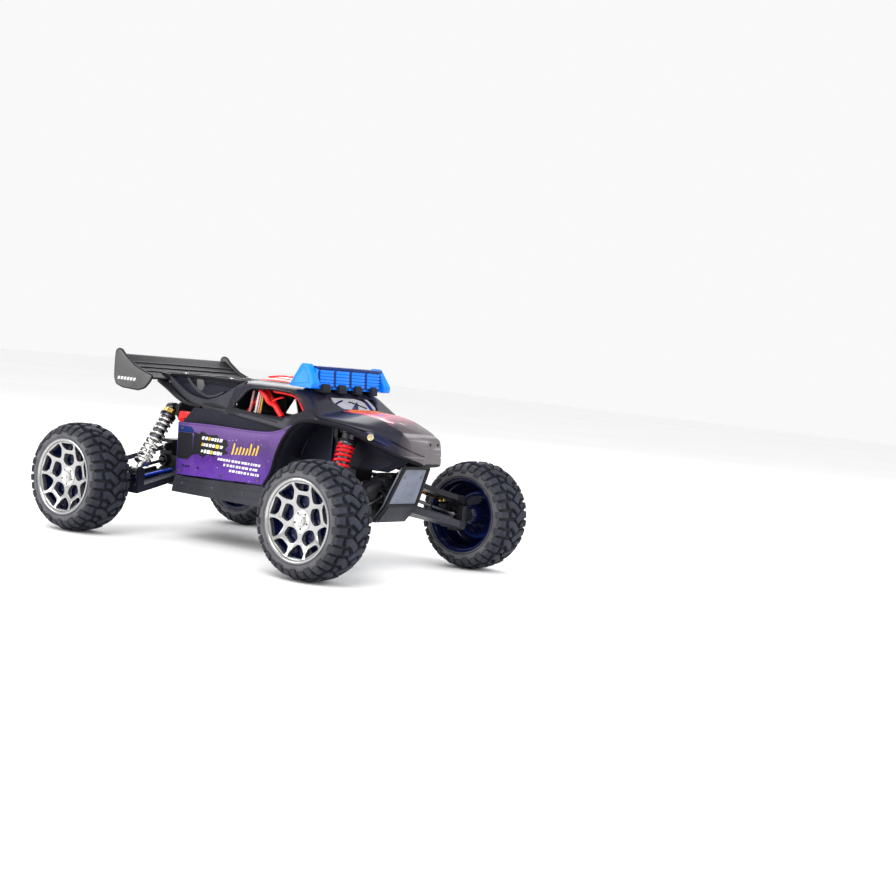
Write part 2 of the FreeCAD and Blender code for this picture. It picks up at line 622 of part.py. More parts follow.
def body_shell():
    """One-piece moulded body: cab, bonnet, recessed side skirts and the rear booms."""
    skirt_side = [(-80, 113), (50, 106), (56, 119), (-24, 129), (-70, 129)]
    shell = cut(body_envelope(), body_hollow())
    shell = cut(shell, window_side(), window_front())
    pieces = []
    for side in (1, -1):
        y0, y1 = sorted((side * 56.4, side * 58))
        pieces.append(prism_side(skirt_side, y0, y1))
    pieces += [boom(), mirror_y(boom())]
    for x in (-30, -58):
        pieces.append(box(x - 3, x + 3, -57, -42, 128.2, 130.2))
        pieces.append(box(x - 3, x + 3, 42, 57, 128.2, 130.2))
    return fuse(shell, *pieces)


def side_panels():
    """Painted panels along both sides, above the chassis rails."""
    outline = [(-83, 113), (-80, 62.4), (35, 66.6), (46, 83), (50, 103), (60, 117), (73, 127), (70, 128.5),
               (54, 122), (37, 116.5), (11, 115), (-14, 115)]
    return prism_side(outline, 58, RAIL_Y + 0.4).cut(body_envelope())


def rear_wing():
    """Blade between two end plates, on brackets that meet the booms."""
    plate = [(-164, 172), (-161, 177), (-154, 177), (-110, 155), (-114, 148), (-121, 142), (-129, 139.5),
             (-152, 140.5), (-161, 144), (-163, 158)]
    blade = [(-114.4, 150.5), (-126, 153.5), (-142, 160), (-159, 171), (-157.5, 173), (-141, 163.5),
             (-125, 156.5), (-114.2, 153)]
    shapes = [prism_side(blade, -72, 72)]
    for side in (1, -1):
        y0, y1 = sorted((side * 71.6, side * 74))
        shapes.append(prism_side(plate, y0, y1))
        y0, y1 = sorted((side * 42, side * 47))
        bracket = [(-114, 149.5), (-114, 158), (-128, 157), (-128, 151)]
        shapes.append(prism_side(bracket, y0, y1))
    return fuse(*shapes)


def light_bar():
    """Roof light bar: long housing with four square wells, and a peaked cap on each end."""
    housing = [(58, 160), (77, 160), (74.5, 180), (62, 180), (57, 172)]
    bar = prism_side(housing, -47, 47)
    well = 19.0
    for i in range(4):
        y = (i - 1.5) * 22.4
        bar = bar.cut(box(71, 90, y - well / 2, y + well / 2, 162.5, 177))
    cap = [(52, 161), (62, 183), (69, 183), (80, 165), (78, 160.5)]
    for side in (1, -1):
        y0, y1 = sorted((side * 47, side * 57))
        bar = fuse(bar, prism_side(cap, y0, y1))
    return bar


def roll_cage():
    """Tube hoop and two raked braces inside the cab."""
    shapes = []
    for side in (1, -1):
        y = side * 40
        shapes.append(rod((9, y, 154.5), (38, y, 124), 2.2))
        shapes.append(rod((-14, y, 128), (9, y, 154.5), 2.2))
        shapes.append(rod((38, y, 124), (-14, y, 128), 2.2))
        for x, z in ((9, 154.5), (38, 124), (-14, 128)):
            shapes.append(Part.makeSphere(2.2, V(x, y, z)))
        foot = sorted((y, side * 60))
        shapes.append(rod_y(foot[0], foot[1], 20, 125.4, 1.6))
    shapes.append(rod((9, -40, 154.5), (9, 40, 154.5), 2.2))
    shapes.append(rod((38, -40, 124), (38, 40, 124), 2.2))
    return fuse(*shapes).common(body_hollow())


# ---- every node, and the files ------------------------------------------------------------
FRONT_PLAN = [(107, INNER_Y), (137, INNER_Y), (137, 27), (141, 36), (161.3, 78), (161.3, OUTER_Y),
              (136.7, OUTER_Y), (120.5, 68), (105.5, 60), (105.5, 34), (107, 27)]
REAR_PLAN = [(107, INNER_Y), (137, INNER_Y), (137, 27), (146, 36), (161.3, 62), (161.3, OUTER_Y),
             (105.5, OUTER_Y), (104, 60), (104, 34), (107, 27)]


def add_sides(nodes, end, name, left):
    if end == "rear":
        left = mirror_x(left)
    nodes[end + "_left_" + name] = left
    nodes[end + "_right_" + name] = mirror_y(left)


def build():
    nodes = {}
    for end, plan in (("front", FRONT_PLAN), ("rear", REAR_PLAN)):
        shock = Shock(end)
        add_sides(nodes, end, "lower_arm", lower_arm(SHOCKS[end]["foot"], plan, LOWER_EYE))
        add_sides(nodes, end, "upper_arm", upper_arm())
        add_sides(nodes, end, "wheel_rim", wheel_rim())
        add_sides(nodes, end, "tyre", tyre())
        add_sides(nodes, end, "wheel_axle", wheel_axle())
        add_sides(nodes, end, "shock_cylinder", shock.cylinder())
        add_sides(nodes, end, "shock_rod", shock.rod())
        add_sides(nodes, end, "shock_spring", shock.spring())
    add_sides(nodes, "front", "caster_block", caster_block())
    add_sides(nodes, "front", "steering_knuckle", steering_knuckle())
    add_sides(nodes, "front", "tie_rod", tie_rod())
    add_sides(nodes, "rear", "hub_carrier", hub_carrier())
    nodes["chassis_tub"] = chassis_tub()
    nodes["front_skid_plate"] = front_skid_plate()
    nodes["front_gearbox"] = gearbox(False)
    nodes["rear_gearbox"] = mirror_x(gearbox(True))
    nodes["front_shock_tower"] = shock_tower("front", 43, 131)
    nodes["rear_shock_tower"] = mirror_x(shock_tower("rear", 45, 131))
    nodes["motor"] = motor()
    nodes["motor_pinion"] = motor_pinion()
    nodes["centre_drive_shaft"] = centre_drive_shaft()
    nodes["battery_pack"] = battery_pack()
    nodes["speed_controller"] = speed_controller()
    nodes["power_switch"] = power_switch()
    nodes["steering_servo"] = steering_servo()
    nodes["servo_horn"] = servo_horn()
    nodes["steering_rack"] = steering_rack()
    nodes["body_shell"] = body_shell()
    panel = side_panels()
    nodes["side_panels"] = Part.makeCompound([panel, mirror_y(panel)])
    nodes["rear_wing"] = rear_wing()
    nodes["light_bar"] = light_bar()
    nodes["roll_cage"] = roll_cage()
    return nodes


def main():
    os.makedirs("parts", exist_ok=True)
    for name, shape in build().items():
        shape.exportStep(os.path.join("parts", name + ".step"))


if __name__ == "__main__":
    main()
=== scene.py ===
import math
import random

import bmesh
import bpy
from mathutils import Matrix, Vector


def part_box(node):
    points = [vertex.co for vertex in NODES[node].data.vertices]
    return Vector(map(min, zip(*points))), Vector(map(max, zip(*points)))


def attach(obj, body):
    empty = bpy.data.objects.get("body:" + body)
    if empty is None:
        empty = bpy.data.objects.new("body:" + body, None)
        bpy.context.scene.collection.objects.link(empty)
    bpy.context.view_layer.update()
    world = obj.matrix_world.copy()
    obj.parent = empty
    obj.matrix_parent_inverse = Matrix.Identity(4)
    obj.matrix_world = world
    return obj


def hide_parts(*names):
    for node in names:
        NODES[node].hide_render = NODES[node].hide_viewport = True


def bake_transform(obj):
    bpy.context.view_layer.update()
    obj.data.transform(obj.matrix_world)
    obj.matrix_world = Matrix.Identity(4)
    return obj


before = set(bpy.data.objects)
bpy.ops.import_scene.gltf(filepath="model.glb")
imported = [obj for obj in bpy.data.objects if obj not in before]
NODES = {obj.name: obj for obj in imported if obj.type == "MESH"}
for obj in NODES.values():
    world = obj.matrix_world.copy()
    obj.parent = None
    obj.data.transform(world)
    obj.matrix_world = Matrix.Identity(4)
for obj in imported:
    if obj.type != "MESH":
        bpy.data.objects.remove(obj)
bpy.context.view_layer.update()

# Shapes are in millimetres in the row frame: +X forward, +Y left, +Z up.
MM = 0.001
SIDES = (("left", 1), ("right", -1))
ENDS = (("front", 1), ("rear", -1))
CORNERS = [(end, side, sx, sy) for end, sx in ENDS for side, sy in SIDES]

# What a piece rides on, and the name of a material slot.
SHELL = ("body_assembly", "charcoal_shell")
CAGE = ("body_assembly", "red_tube")
PANEL = ("body_assembly", "violet_panel")
LIGHTS = ("body_assembly", "light_bar_blue")
WING = ("body_assembly", "wing_black")
FRAME = ("chassis", "black_moulding")
LEADS = ("chassis", "red_button")


def node_box(name):
    low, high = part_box(name)
    return low / MM, high / MM


TYRE_LOW, TYRE_HIGH = node_box("front_left_tyre")
AXLE = (TYRE_LOW + TYRE_HIGH) / 2
HALF_W = (TYRE_HIGH.y - TYRE_LOW.y) / 2


# ---- materials ----------------------------------------------------------------------------
class Shader:
    """A Principled material with a few short helpers for its node tree."""

    def __init__(self, name, metallic=0.0, coat=0.0, ior=1.45):
        self.material = bpy.data.materials.new(name)
        self.material.use_nodes = True
        self.nodes = self.material.node_tree.nodes
        self.links = self.material.node_tree.links
        self.bsdf = self.nodes["Principled BSDF"]
        self.bsdf.inputs["Metallic"].default_value = metallic
        self.bsdf.inputs["Coat Weight"].default_value = coat
        self.bsdf.inputs["Coat Roughness"].default_value = 0.08
        self.bsdf.inputs["IOR"].default_value = ior
        self.coords = self.nodes.new("ShaderNodeTexCoord").outputs["Object"]

    def noise(self, scale, detail=4.0, rough=0.55, distort=0.0, stretch=None):
        node = self.nodes.new("ShaderNodeTexNoise")
        values = {"Scale": scale, "Detail": detail, "Roughness": rough, "Distortion": distort}
        for socket, value in values.items():
            node.inputs[socket].default_value = value
        source = self.coords
        if stretch:
            mapping = self.nodes.new("ShaderNodeMapping")
            mapping.inputs["Scale"].default_value = stretch
            self.links.new(source, mapping.inputs["Vector"])
            source = mapping.outputs["Vector"]
        self.links.new(source, node.inputs["Vector"])
        return node.outputs["Fac"]

    def ramp(self, source, stops, interpolation="LINEAR"):
        node = self.nodes.new("ShaderNodeValToRGB")
        node.color_ramp.interpolation = interpolation
        elements = node.color_ramp.elements
        while len(elements) < len(stops):
            elements.new(0.5)
        for element, (place, colour) in zip(elements, stops):
            element.position = place
            element.color = (*colour, 1.0)
        self.links.new(source, node.inputs["Fac"])
        return node.outputs["Color"]

    def remap(self, source, low, high, to_low=0.0, to_high=1.0):
        node = self.nodes.new("ShaderNodeMapRange")
        for socket, value in zip(("From Min", "From Max", "To Min", "To Max"), (low, high, to_low, to_high)):
            node.inputs[socket].default_value = value
        self.links.new(source, node.inputs["Value"])
        return node.outputs["Result"]

    def math(self, operation, a, b):
        node = self.nodes.new("ShaderNodeMath")
        node.operation = operation
        for socket, value in zip(node.inputs, (a, b)):
            if isinstance(value, (int, float)):
                socket.default_value = value
            else:
                self.links.new(value, socket)
        return node.outputs[0]

    def axis(self, name):
        if not hasattr(self, "split"):
            self.split = self.nodes.new("ShaderNodeSeparateXYZ")
            self.links.new(self.coords, self.split.inputs["Vector"])
        return self.split.outputs[name]

    def mix(self, factor, a, b):
        node = self.nodes.new("ShaderNodeMix")
        node.data_type = "RGBA"
        self.links.new(factor, node.inputs[0])
        for socket, value in ((node.inputs[6], a), (node.inputs[7], b)):
            if isinstance(value, tuple):
                socket.default_value = (*value, 1.0)
            else:
                self.links.new(value, socket)
        return node.outputs[2]

    def colour(self, source):
        self.links.new(source, self.bsdf.inputs["Base Color"])

    def roughness(self, source):
        self.links.new(source, self.bsdf.inputs["Roughness"])

    def bump(self, source, strength, distance):
        node = self.nodes.new("ShaderNodeBump")
        node.inputs["Strength"].default_value = strength
        node.inputs["Distance"].default_value = distance * MM
        self.links.new(source, node.inputs["Height"])
        self.links.new(node.outputs["Normal"], self.bsdf.inputs["Normal"])


def shade(colour, factor):
    """The colour made lighter or darker."""
    return tuple(min(1.0, c * factor) for c in colour)


def moulded(name, colour, rough=0.4, metallic=0.0, coat=0.0, vary=0.25, grain=900.0, bump=0.25, depth=0.05,
            gloss=0.22):
    """Moulded or machined surface: faint cloudy tone, fine grain and uneven gloss."""
    s = Shader(name, metallic, coat)
    s.bsdf.inputs["Specular IOR Level"].default_value = gloss
    cloud = s.noise(38.0, 5.0)
    s.colour(s.ramp(cloud, [(0.3, shade(colour, 1 - vary)), (0.7, shade(colour, 1 + vary))]))
    fine = s.noise(grain, 3.0)
    s.roughness(s.remap(fine, 0.3, 0.7, rough * 0.8, min(1.0, rough * 1.25)))
    s.bump(fine, bump, depth)
    return s.material


def brushed(name, colour, rough=0.28, stretch=(20.0, 600.0, 600.0), vary=0.18):
    """Metal with fine drawn lines."""
    s = Shader(name, 1.0)
    lines = s.noise(1.0, 3.0, stretch=stretch)
    s.colour(s.ramp(lines, [(0.3, shade(colour, 1 - vary)), (0.7, shade(colour, 1 + vary))]))
    s.roughness(s.remap(lines, 0.3, 0.7, rough * 0.75, rough * 1.3))
    s.bump(lines, 0.15, 0.03)
    return s.material


def tyre_rubber(name, colour, wall):
    """Blue-grey rubber: mottled, with a fine moulded skin, and paler on the sidewalls."""
    s = Shader(name)
    s.bsdf.inputs["Specular IOR Level"].default_value = 0.22
    cloud = s.noise(55.0, 6.0, 0.65)
    tread = s.ramp(cloud, [(0.3, shade(colour, 0.6)), (0.5, colour), (0.75, shade(colour, 1.5))])
    side = s.ramp(cloud, [(0.3, shade(wall, 0.75)), (0.5, wall), (0.75, shade(wall, 1.3))])
    away = s.math("ABSOLUTE", s.math("SUBTRACT", s.math("ABSOLUTE", s.axis("Y"), 0.0), AXLE.y * MM), 0.0)
    s.colour(s.mix(s.remap(away, (HALF_W - 2.6) * MM, (HALF_W - 1.6) * MM), tread, side))
    fine = s.noise(1500.0, 4.0, 0.7)
    s.roughness(s.remap(fine, 0.3, 0.7, 0.5, 0.75))
    s.bump(fine, 0.45, 0.12)
    return s.material


def side_panel_paint():
    """Mauve at the top front, violet lower down, navy at the rear, with pale specks."""
    s = Shader("paint_side_panel", coat=0.08, ior=1.25)
    height = s.remap(s.axis("Z"), 64 * MM, 122 * MM)
    upright = s.ramp(height, [(0.0, (0.115, 0.035, 0.33)), (0.3, (0.080, 0.024, 0.23)),
            (0.62, (0.075, 0.036, 0.15)), (1.0, (0.155, 0.075, 0.27))])
    along = s.remap(s.axis("X"), -84 * MM, -62 * MM)
    tail = s.ramp(along, [(0.0, (1, 1, 1)), (0.35, (0.25, 0.25, 0.25)), (1.0, (0, 0, 0))])
    paint = s.mix(tail, upright, (0.022, 0.012, 0.16))
    cloud = s.noise(45.0, 6.0, 0.6, 0.5)
    paint = s.mix(s.remap(cloud, 0.45, 0.75, 0.0, 0.3), paint, (0.22, 0.12, 0.40))
    specks = s.noise(520.0, 2.0)
    paint = s.mix(s.remap(specks, 0.70, 0.76, 0.0, 0.5), paint, (0.75, 0.7, 0.85))
    s.colour(paint)
    s.roughness(s.remap(cloud, 0.3, 0.7, 0.3, 0.42))
    s.bump(s.noise(900.0), 0.08, 0.03)
    return s.material


def shell_paint():
    """Charcoal shell; the bonnet's middle runs orange, pink and red to a pale mauve nose."""
    s = Shader("paint_body_shell", coat=0.12, ior=1.25)
    dark_cloud = s.noise(30.0, 5.0)
    dark = s.ramp(dark_cloud, [(0.3, (0.008, 0.008, 0.016)), (0.7, (0.018, 0.017, 0.028))])
    x = s.axis("X")
    along = s.remap(s.math("ADD", x, s.math("MULTIPLY", s.noise(22.0, 3.0), 20 * MM)), 98 * MM, 190 * MM)
    graphic = s.ramp(along, [(0.0, (0.85, 0.20, 0.03)), (0.22, (0.80, 0.13, 0.05)),
            (0.36, (0.60, 0.10, 0.14)), (0.5, (0.34, 0.10, 0.15)), (0.68, (0.060, 0.050, 0.062)),
            (1.0, (0.115, 0.105, 0.112))])
    lines = s.noise(1.0, 2.0, stretch=(6.0, 14.0, 260.0))
    graphic = s.mix(s.math("MULTIPLY", s.remap(lines, 0.56, 0.6, 0.0, 0.6), s.remap(x, 140 * MM, 160 * MM)),
                    graphic, (0.30, 0.28, 0.30))
    for scale, colour, low in ((70.0, (0.62, 0.02, 0.10), 0.60), (95.0, (0.88, 0.55, 0.62), 0.64),
                               (120.0, (0.12, 0.10, 0.32), 0.66)):
        streak = s.noise(scale, 3.0, 0.5, 2.2, stretch=(0.35, 1.3, 0.5))
        band = s.math("MULTIPLY", s.remap(streak, low, low + 0.03), s.remap(x, 165 * MM, 140 * MM))
        graphic = s.mix(band, graphic, colour)
    width = s.remap(x, 93 * MM, 168 * MM, 27 * MM, 17 * MM)
    wobble = s.math("MULTIPLY", s.noise(60.0, 2.0), 5 * MM)
    edge = s.math("SUBTRACT", s.math("ADD", width, wobble), s.math("ABSOLUTE", s.axis("Y"), 0.0))
    inside = s.remap(edge, -0.6 * MM, 0.6 * MM)
    front = s.remap(x, 95 * MM, 96 * MM)
    nose = s.remap(x, 160 * MM, 172 * MM)
    inside = s.math("MAXIMUM", inside, nose)
    s.colour(s.mix(s.math("MULTIPLY", inside, front), dark, graphic))
    s.roughness(s.remap(dark_cloud, 0.3, 0.7, 0.24, 0.36))
    s.bump(s.noise(1100.0), 0.06, 0.03)
    return s.material


def studio_paper():
    """The pale floor."""
    s = Shader("studio_paper")
    s.colour(s.ramp(s.noise(3.0), [(0.3, (0.93, 0.93, 0.935)), (0.7, (0.96, 0.96, 0.96))]))
    s.bsdf.inputs["Roughness"].default_value = 0.75
    s.bsdf.inputs["Specular IOR Level"].default_value = 0.15
    return s.material


def clear_plastic(name, colour, rough, alpha):
    """A clear or tinted moulding."""
    s = Shader(name, coat=0.3)
    faint = s.noise(60.0)
    s.colour(s.ramp(faint, [(0.3, shade(colour, 0.9)), (0.7, shade(colour, 1.1))]))
    s.roughness(s.remap(faint, 0.3, 0.7, rough, rough * 2))
    s.bsdf.inputs["Alpha"].default_value = alpha
    return s.material


MAT = {
    "black": moulded("black_moulding", (0.010, 0.010, 0.013), 0.34, bump=0.3),
    "liner": moulded("well_liner", (0.008, 0.009, 0.018), 0.55),
    "navy": moulded("navy_gloss", (0.005, 0.008, 0.04), 0.16, coat=0.2, bump=0.05),
    "charcoal": moulded("charcoal_moulding", (0.032, 0.033, 0.042), 0.4, bump=0.4, depth=0.08),
    "plate": moulded("grey_blue_plate", (0.16, 0.175, 0.225), 0.38, bump=0.3),
    # The carcass crown colour shows only in the grooves between the tread blocks and is darker than the blocks'
    # crown colour: painted shade in the grooves.
    "rubber": tyre_rubber("tyre_rubber", (0.010, 0.010, 0.014), (0.105, 0.106, 0.115)),
    "lug": tyre_rubber("tyre_lug_rubber", (0.020, 0.022, 0.033), (0.036, 0.037, 0.045)),
    "rim": moulded("rim_silver", (0.42, 0.42, 0.42), 0.22, metallic=0.9, vary=0.08, bump=0.05),
    "barrel": moulded("rim_barrel", (0.003, 0.006, 0.035), 0.14, coat=0.25, bump=0.05),
    # The inner ring is a raised ring, and its blue, brighter than the barrel's navy, is a painted highlight.
    "ring_blue": moulded("rim_ring_painted_highlight", (0.006, 0.020, 0.12), 0.14, coat=0.4, bump=0.05),
    "cap": moulded("hub_cap_white", (0.78, 0.78, 0.77), 0.3, vary=0.05, bump=0.05),
    # Near-black. On the hub caps it paints the shade inside their holes.
    "hole": moulded("dark_recess", (0.005, 0.005, 0.006), 0.6),
    "steel": brushed("bright_steel", (0.62, 0.62, 0.61)),
    "alloy": brushed("dark_alloy", (0.10, 0.10, 0.115), 0.32),
    "brass": brushed("brass_cap", (0.72, 0.47, 0.13), 0.22),
    "blue_metal": moulded("blue_anodised", (0.012, 0.05, 0.42), 0.26, metallic=0.8, vary=0.3),
    "red_coil": moulded("red_coil", (0.72, 0.008, 0.014), 0.22, coat=0.2, vary=0.12, bump=0.05),
    "silver_coil": brushed("silver_coil", (0.72, 0.72, 0.70), 0.2),
    "red": moulded("red_gloss", (0.70, 0.014, 0.014), 0.25, coat=0.2, vary=0.12, bump=0.05),
    "lamp_blue": moulded("light_bar_blue", (0.0, 0.20, 0.92), 0.22, coat=0.08, vary=0.1, bump=0.06),
    "lamp_dark": moulded("light_bar_navy", (0.003, 0.022, 0.14), 0.25, coat=0.1),
    "wing": moulded("wing_black", (0.006, 0.006, 0.009), 0.42, bump=0.1, gloss=0.12),
    "end_plate": moulded("end_plate_grey", (0.085, 0.085, 0.088), 0.35),
    "orange": moulded("orange_strip", (0.85, 0.22, 0.04), 0.3, vary=0.15),
    "white": moulded("white_mark", (0.80, 0.80, 0.80), 0.4, vary=0.06),
    "gold": moulded("gold_mark", (0.80, 0.50, 0.05), 0.35, vary=0.15),
    "pink": moulded("pink_strip", (0.72, 0.36, 0.34), 0.4, vary=0.25),
    "amber": clear_plastic("amber_lens", (0.55, 0.45, 0.24), 0.05, 0.85),
    "glass": clear_plastic("clear_screen", (0.02, 0.03, 0.14), 0.02, 0.3),
    "roof_lens": clear_plastic("salmon_roof_lens", (0.85, 0.10, 0.08), 0.08, 0.92),
    "battery": moulded("battery_wrap", (0.03, 0.04, 0.22), 0.25, coat=0.3),
    "can": brushed("motor_can", (0.45, 0.45, 0.47), 0.3),
    "side": side_panel_paint(),
    "shell": shell_paint(),
    "paper": studio_paper(),
}


# ---- mesh helpers -------------------------------------------------------------------------
def make(name, verts, faces, mat, on=None, sharp=40.0):
    """A mesh piece from points and faces. on is the body it rides on and a material slot name; the slot name is
    not used.
    """
    mesh = bpy.data.meshes.new(name)
    mesh.from_pydata([tuple(c * MM for c in v) for v in verts], [], faces)
    return finish_mesh(name, mesh, mat, on, sharp)


def finish_mesh(name, mesh, mat, on, sharp):
    body, slot = on or (None, None)
    mesh.validate()
    mesh.shade_smooth()
    mesh.set_sharp_from_angle(angle=math.radians(sharp))
    mesh.materials.clear()
    mesh.materials.append(MAT[mat])
    piece = bpy.data.objects.new(name, mesh)
    bpy.context.scene.collection.objects.link(piece)
    if body:
        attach(piece, body)
    return piece


def bake(piece):
    """Applies the piece's modifiers."""
    graph = bpy.context.evaluated_depsgraph_get()
    graph.update()
    mesh = bpy.data.meshes.new_from_object(piece.evaluated_get(graph))
    piece.modifiers.clear()
    piece.data = mesh


def bevel(piece, width, angle):
    modifier = piece.modifiers.new("bevel", "BEVEL")
    modifier.width = width * MM
    modifier.segments = 2
    modifier.limit_method = "ANGLE"
    modifier.angle_limit = math.radians(angle)


def thicken(piece, wall, offset=-1.0):
    """Gives a sheet its wall."""
    modifier = piece.modifiers.new("wall", "SOLIDIFY")
    modifier.thickness = wall * MM
    modifier.offset = offset
    bake(piece)


def subtract(piece, cutter):
    """Takes the cutter's volume out of the piece."""
    modifier = piece.modifiers.new("cut", "BOOLEAN")
    modifier.object = cutter
    modifier.operation = "DIFFERENCE"
    modifier.solver = "EXACT"
    bake(piece)
    bpy.data.objects.remove(cutter)


def sheet_faces(rows, count):
    """Quads between rows of count points."""
    return [[a, a + 1, a + count + 1, a + count] for i in range(rows - 1)
            for a in range(i * count, (i + 1) * count - 1)]


def curve_through(points, steps=6, closed=False):
    """Catmull-Rom points through the given ones."""
    pts = [Vector(p) for p in points]
    count = len(pts)
    out = []
    for i in range(count if closed else count - 1):
        p0 = pts[(i - 1) % count] if closed or i > 0 else pts[0] * 2 - pts[1]
        p1 = pts[i]
        p2 = pts[(i + 1) % count]
        p3 = pts[(i + 2) % count] if closed or i + 2 < count else pts[-1] * 2 - pts[-2]
        for k in range(steps):
            t = k / steps
            square = (2 * p0 - 5 * p1 + 4 * p2 - p3) * t ** 2
            cube = (3 * p1 - p0 - 3 * p2 + p3) * t ** 3
            out.append(0.5 * ((2 * p1) + (p2 - p0) * t + square + cube))
    if not closed:
        out.append(pts[-1])
    return out


def rounded(points, radius, steps=4):
    """A closed outline with each corner cut by a small arc."""
    pts = [Vector(p) for p in points]
    out = []
    for i, corner in enumerate(pts):
        before, after = pts[i - 1] - corner, pts[(i + 1) % len(pts)] - corner
        reach = min(radius, before.length * 0.45, after.length * 0.45)
        a, b = corner + before.normalized() * reach, corner + after.normalized() * reach
        for k in range(steps + 1):
            t = k / steps
            out.append(a * (1 - t) ** 2 + corner * 2 * t * (1 - t) + b * t ** 2)
    return out


def slab(name, outline, low, high, mat, on, edge=0.6, axis="y", segments=2):
    """A flat outline pushed along an axis, with bevelled rims. The outline's pairs run X then Y then Z."""
    low, high = sorted((low, high))

    def place(pair, depth):
        a, b = pair
        return {"x": (depth, a, b), "y": (a, depth, b), "z": (a, b, depth)}[axis]

    count = len(outline)
    verts = [place(p, low) for p in outline] + [place(p, high) for p in outline]
    faces = [list(range(count)), [count + i for i in reversed(range(count))]]
    faces += [[i, count + i, count + (i + 1) % count, (i + 1) % count] for i in range(count)]
    bm = bmesh.new()
    corners = [bm.verts.new(v) for v in verts]
    for face in faces:
        bm.faces.new([corners[i] for i in face])
    bmesh.ops.recalc_face_normals(bm, faces=bm.faces)
    if edge:
        caps = [e for e in bm.edges if e.calc_face_angle(0) > math.radians(50)]
        bmesh.ops.bevel(bm, geom=caps, offset=edge, segments=segments, profile=0.5, affect="EDGES",
                        clamp_overlap=True)
    for v in bm.verts:
        v.co *= MM
    mesh = bpy.data.meshes.new(name)
    bm.to_mesh(mesh)
    bm.free()
    return finish_mesh(name, mesh, mat, on, 30.0)


def frames_along(points, closed=False):
    """A side and an up vector at each point of a path, turning as little as possible."""
    count = len(points)
    side = None
    out = []
    for i, p in enumerate(points):
        ahead = points[(i + 1) % count] if closed or i + 1 < count else p
        behind = points[i - 1] if closed or i > 0 else p
        run = (ahead - behind).normalized()
        if side is None:
            side = run.cross(Vector((0, 0, 1)))
            if side.length < 0.1:
                side = run.cross(Vector((0, 1, 0)))
        side = (side - run * side.dot(run)).normalized()
        out.append((side, run.cross(side)))
    return out


def tube(name, points, radius, mat, on, flat=1.0, sides=12, closed=False):
    """A round or flattened tube along a path, with closed ends."""
    points = [Vector(p) for p in points]
    verts, faces = [], []
    for p, (side, up) in zip(points, frames_along(points, closed)):
        for k in range(sides):
            angle = 2 * math.pi * k / sides
            verts.append(p + side * radius * flat * math.cos(angle) + up * radius * math.sin(angle))
    rings = len(points)
    for i in range(rings if closed else rings - 1):
        for k in range(sides):
            a, b = i * sides + k, i * sides + (k + 1) % sides
            j = ((i + 1) % rings) * sides
            faces.append([a, j + k, j + (k + 1) % sides, b])
    if not closed:
        faces += [list(range(sides)), [(rings - 1) * sides + k for k in reversed(range(sides))]]
    return make(name, verts, faces, mat, on, 50.0)


def lathe_data(profile, segments, start=(0, 0, 0), run=(0, 1, 0)):
    """Points and faces of an (along, radius) outline turned about an axis."""
    start, run = Vector(start), Vector(run).normalized()
    side = run.cross(Vector((0, 0, 1)))
    if side.length < 0.1:
        side = run.cross(Vector((1, 0, 0)))
    side.normalize()
    up = side.cross(run)
    verts, faces = [], []
    for i in range(segments):
        angle = 2 * math.pi * i / segments
        out = side * math.cos(angle) + up * math.sin(angle)
        verts += [start + run * along + out * radius for along, radius in profile]
    count = len(profile)
    for i in range(segments):
        for k in range(count):
            a, b = i * count + k, i * count + (k + 1) % count
            j = ((i + 1) % segments) * count
            faces.append([a, b, j + (k + 1) % count, j + k])
    return verts, faces


def lathe(name, profile, start, run, mat, on, segments):
    verts, faces = lathe_data(profile, segments, start, run)
    return make(name, verts, faces, mat, on, 35.0)


def wheel_part(corner, name, data, mat, slot=None, sharp=40.0):
    """Points and faces about the axle, outward along +Y, put on one wheel."""
    end, side, sx, sy = corner
    verts, faces = data
    verts = [Vector((sx * AXLE.x + x, sy * (AXLE.y + y), AXLE.z + z)) for x, y, z in verts]
    if sy < 0:
        faces = [list(reversed(f)) for f in faces]
    prefix = end + "_" + side + "_"
    return make(prefix + name, verts, faces, mat, (prefix + "wheel", slot), sharp)


# ---- tyres --------------------------------------------------------------------------------
# The tread is laid out flat and wrapped round this radius. CROWN is half the section, as (across, radius).
TREAD_R = 50.0
CROWN = [(0, 48.6), (8, 48.4), (14, 47.6), (18.4, 45.8), (21.2, 43.0), (22.4, 40.0), (22.5, 37.5)]


def crown_at(s):
    """Across the tread, at arc length s: place (y, r) and outward normal."""
    side = -1 if s < 0 else 1
    rest = abs(s)
    for (y0, r0), (y1, r1) in zip(CROWN, CROWN[1:]):
        length = math.hypot(y1 - y0, r1 - r0)
        if rest <= length or (y1, r1) == CROWN[-1]:
            t = min(1.0, rest / length)
            normal = ((r0 - r1) / length, (y1 - y0) / length)
            return side * (y0 + (y1 - y0) * t), r0 + (r1 - r0) * t, side * normal[0], normal[1]
        rest -= length


def tread_point(arc, s, height):
    """arc is millimetres round the tread and s millimetres across it."""
    y, r, ny, nr = crown_at(s)
    angle = arc / TREAD_R
    r += nr * height
    return Vector((r * math.cos(angle), y + ny * height, r * math.sin(angle)))


def lug(centreline, widths, height):
    """A tread block that follows a line over the crown, with chamfered top edges."""
    path = curve_through([(a, s, 0) for a, s in centreline], 4)
    verts, faces = [], []
    count = len(path)
    for i, p in enumerate(path):
        ahead, behind = path[min(i + 1, count - 1)], path[max(i - 1, 0)]
        run = (ahead - behind).normalized()
        across = Vector((-run.y, run.x, 0))
        t = i / (count - 1)
        half = (widths[0] * (1 - t) + widths[1] * t) / 2
        top = height * (1.0 if 0 < i < count - 1 else 0.86)
        for offset, h in ((half, -0.8), (half - 0.35, top - 0.7), (half - 0.95, top),
                          (0.95 - half, top), (0.35 - half, top - 0.7), (-half, -0.8)):
            q = p + across * offset
            verts.append(tread_point(q.x, q.y, h))
    for i in range(count - 1):
        for k in range(5):
            a = i * 6 + k
            faces.append([a, a + 6, a + 7, a + 1])
    faces.append([0, 1, 2, 3, 4, 5])
    faces.append([(count - 1) * 6 + k for k in (5, 4, 3, 2, 1, 0)])
    return verts, faces


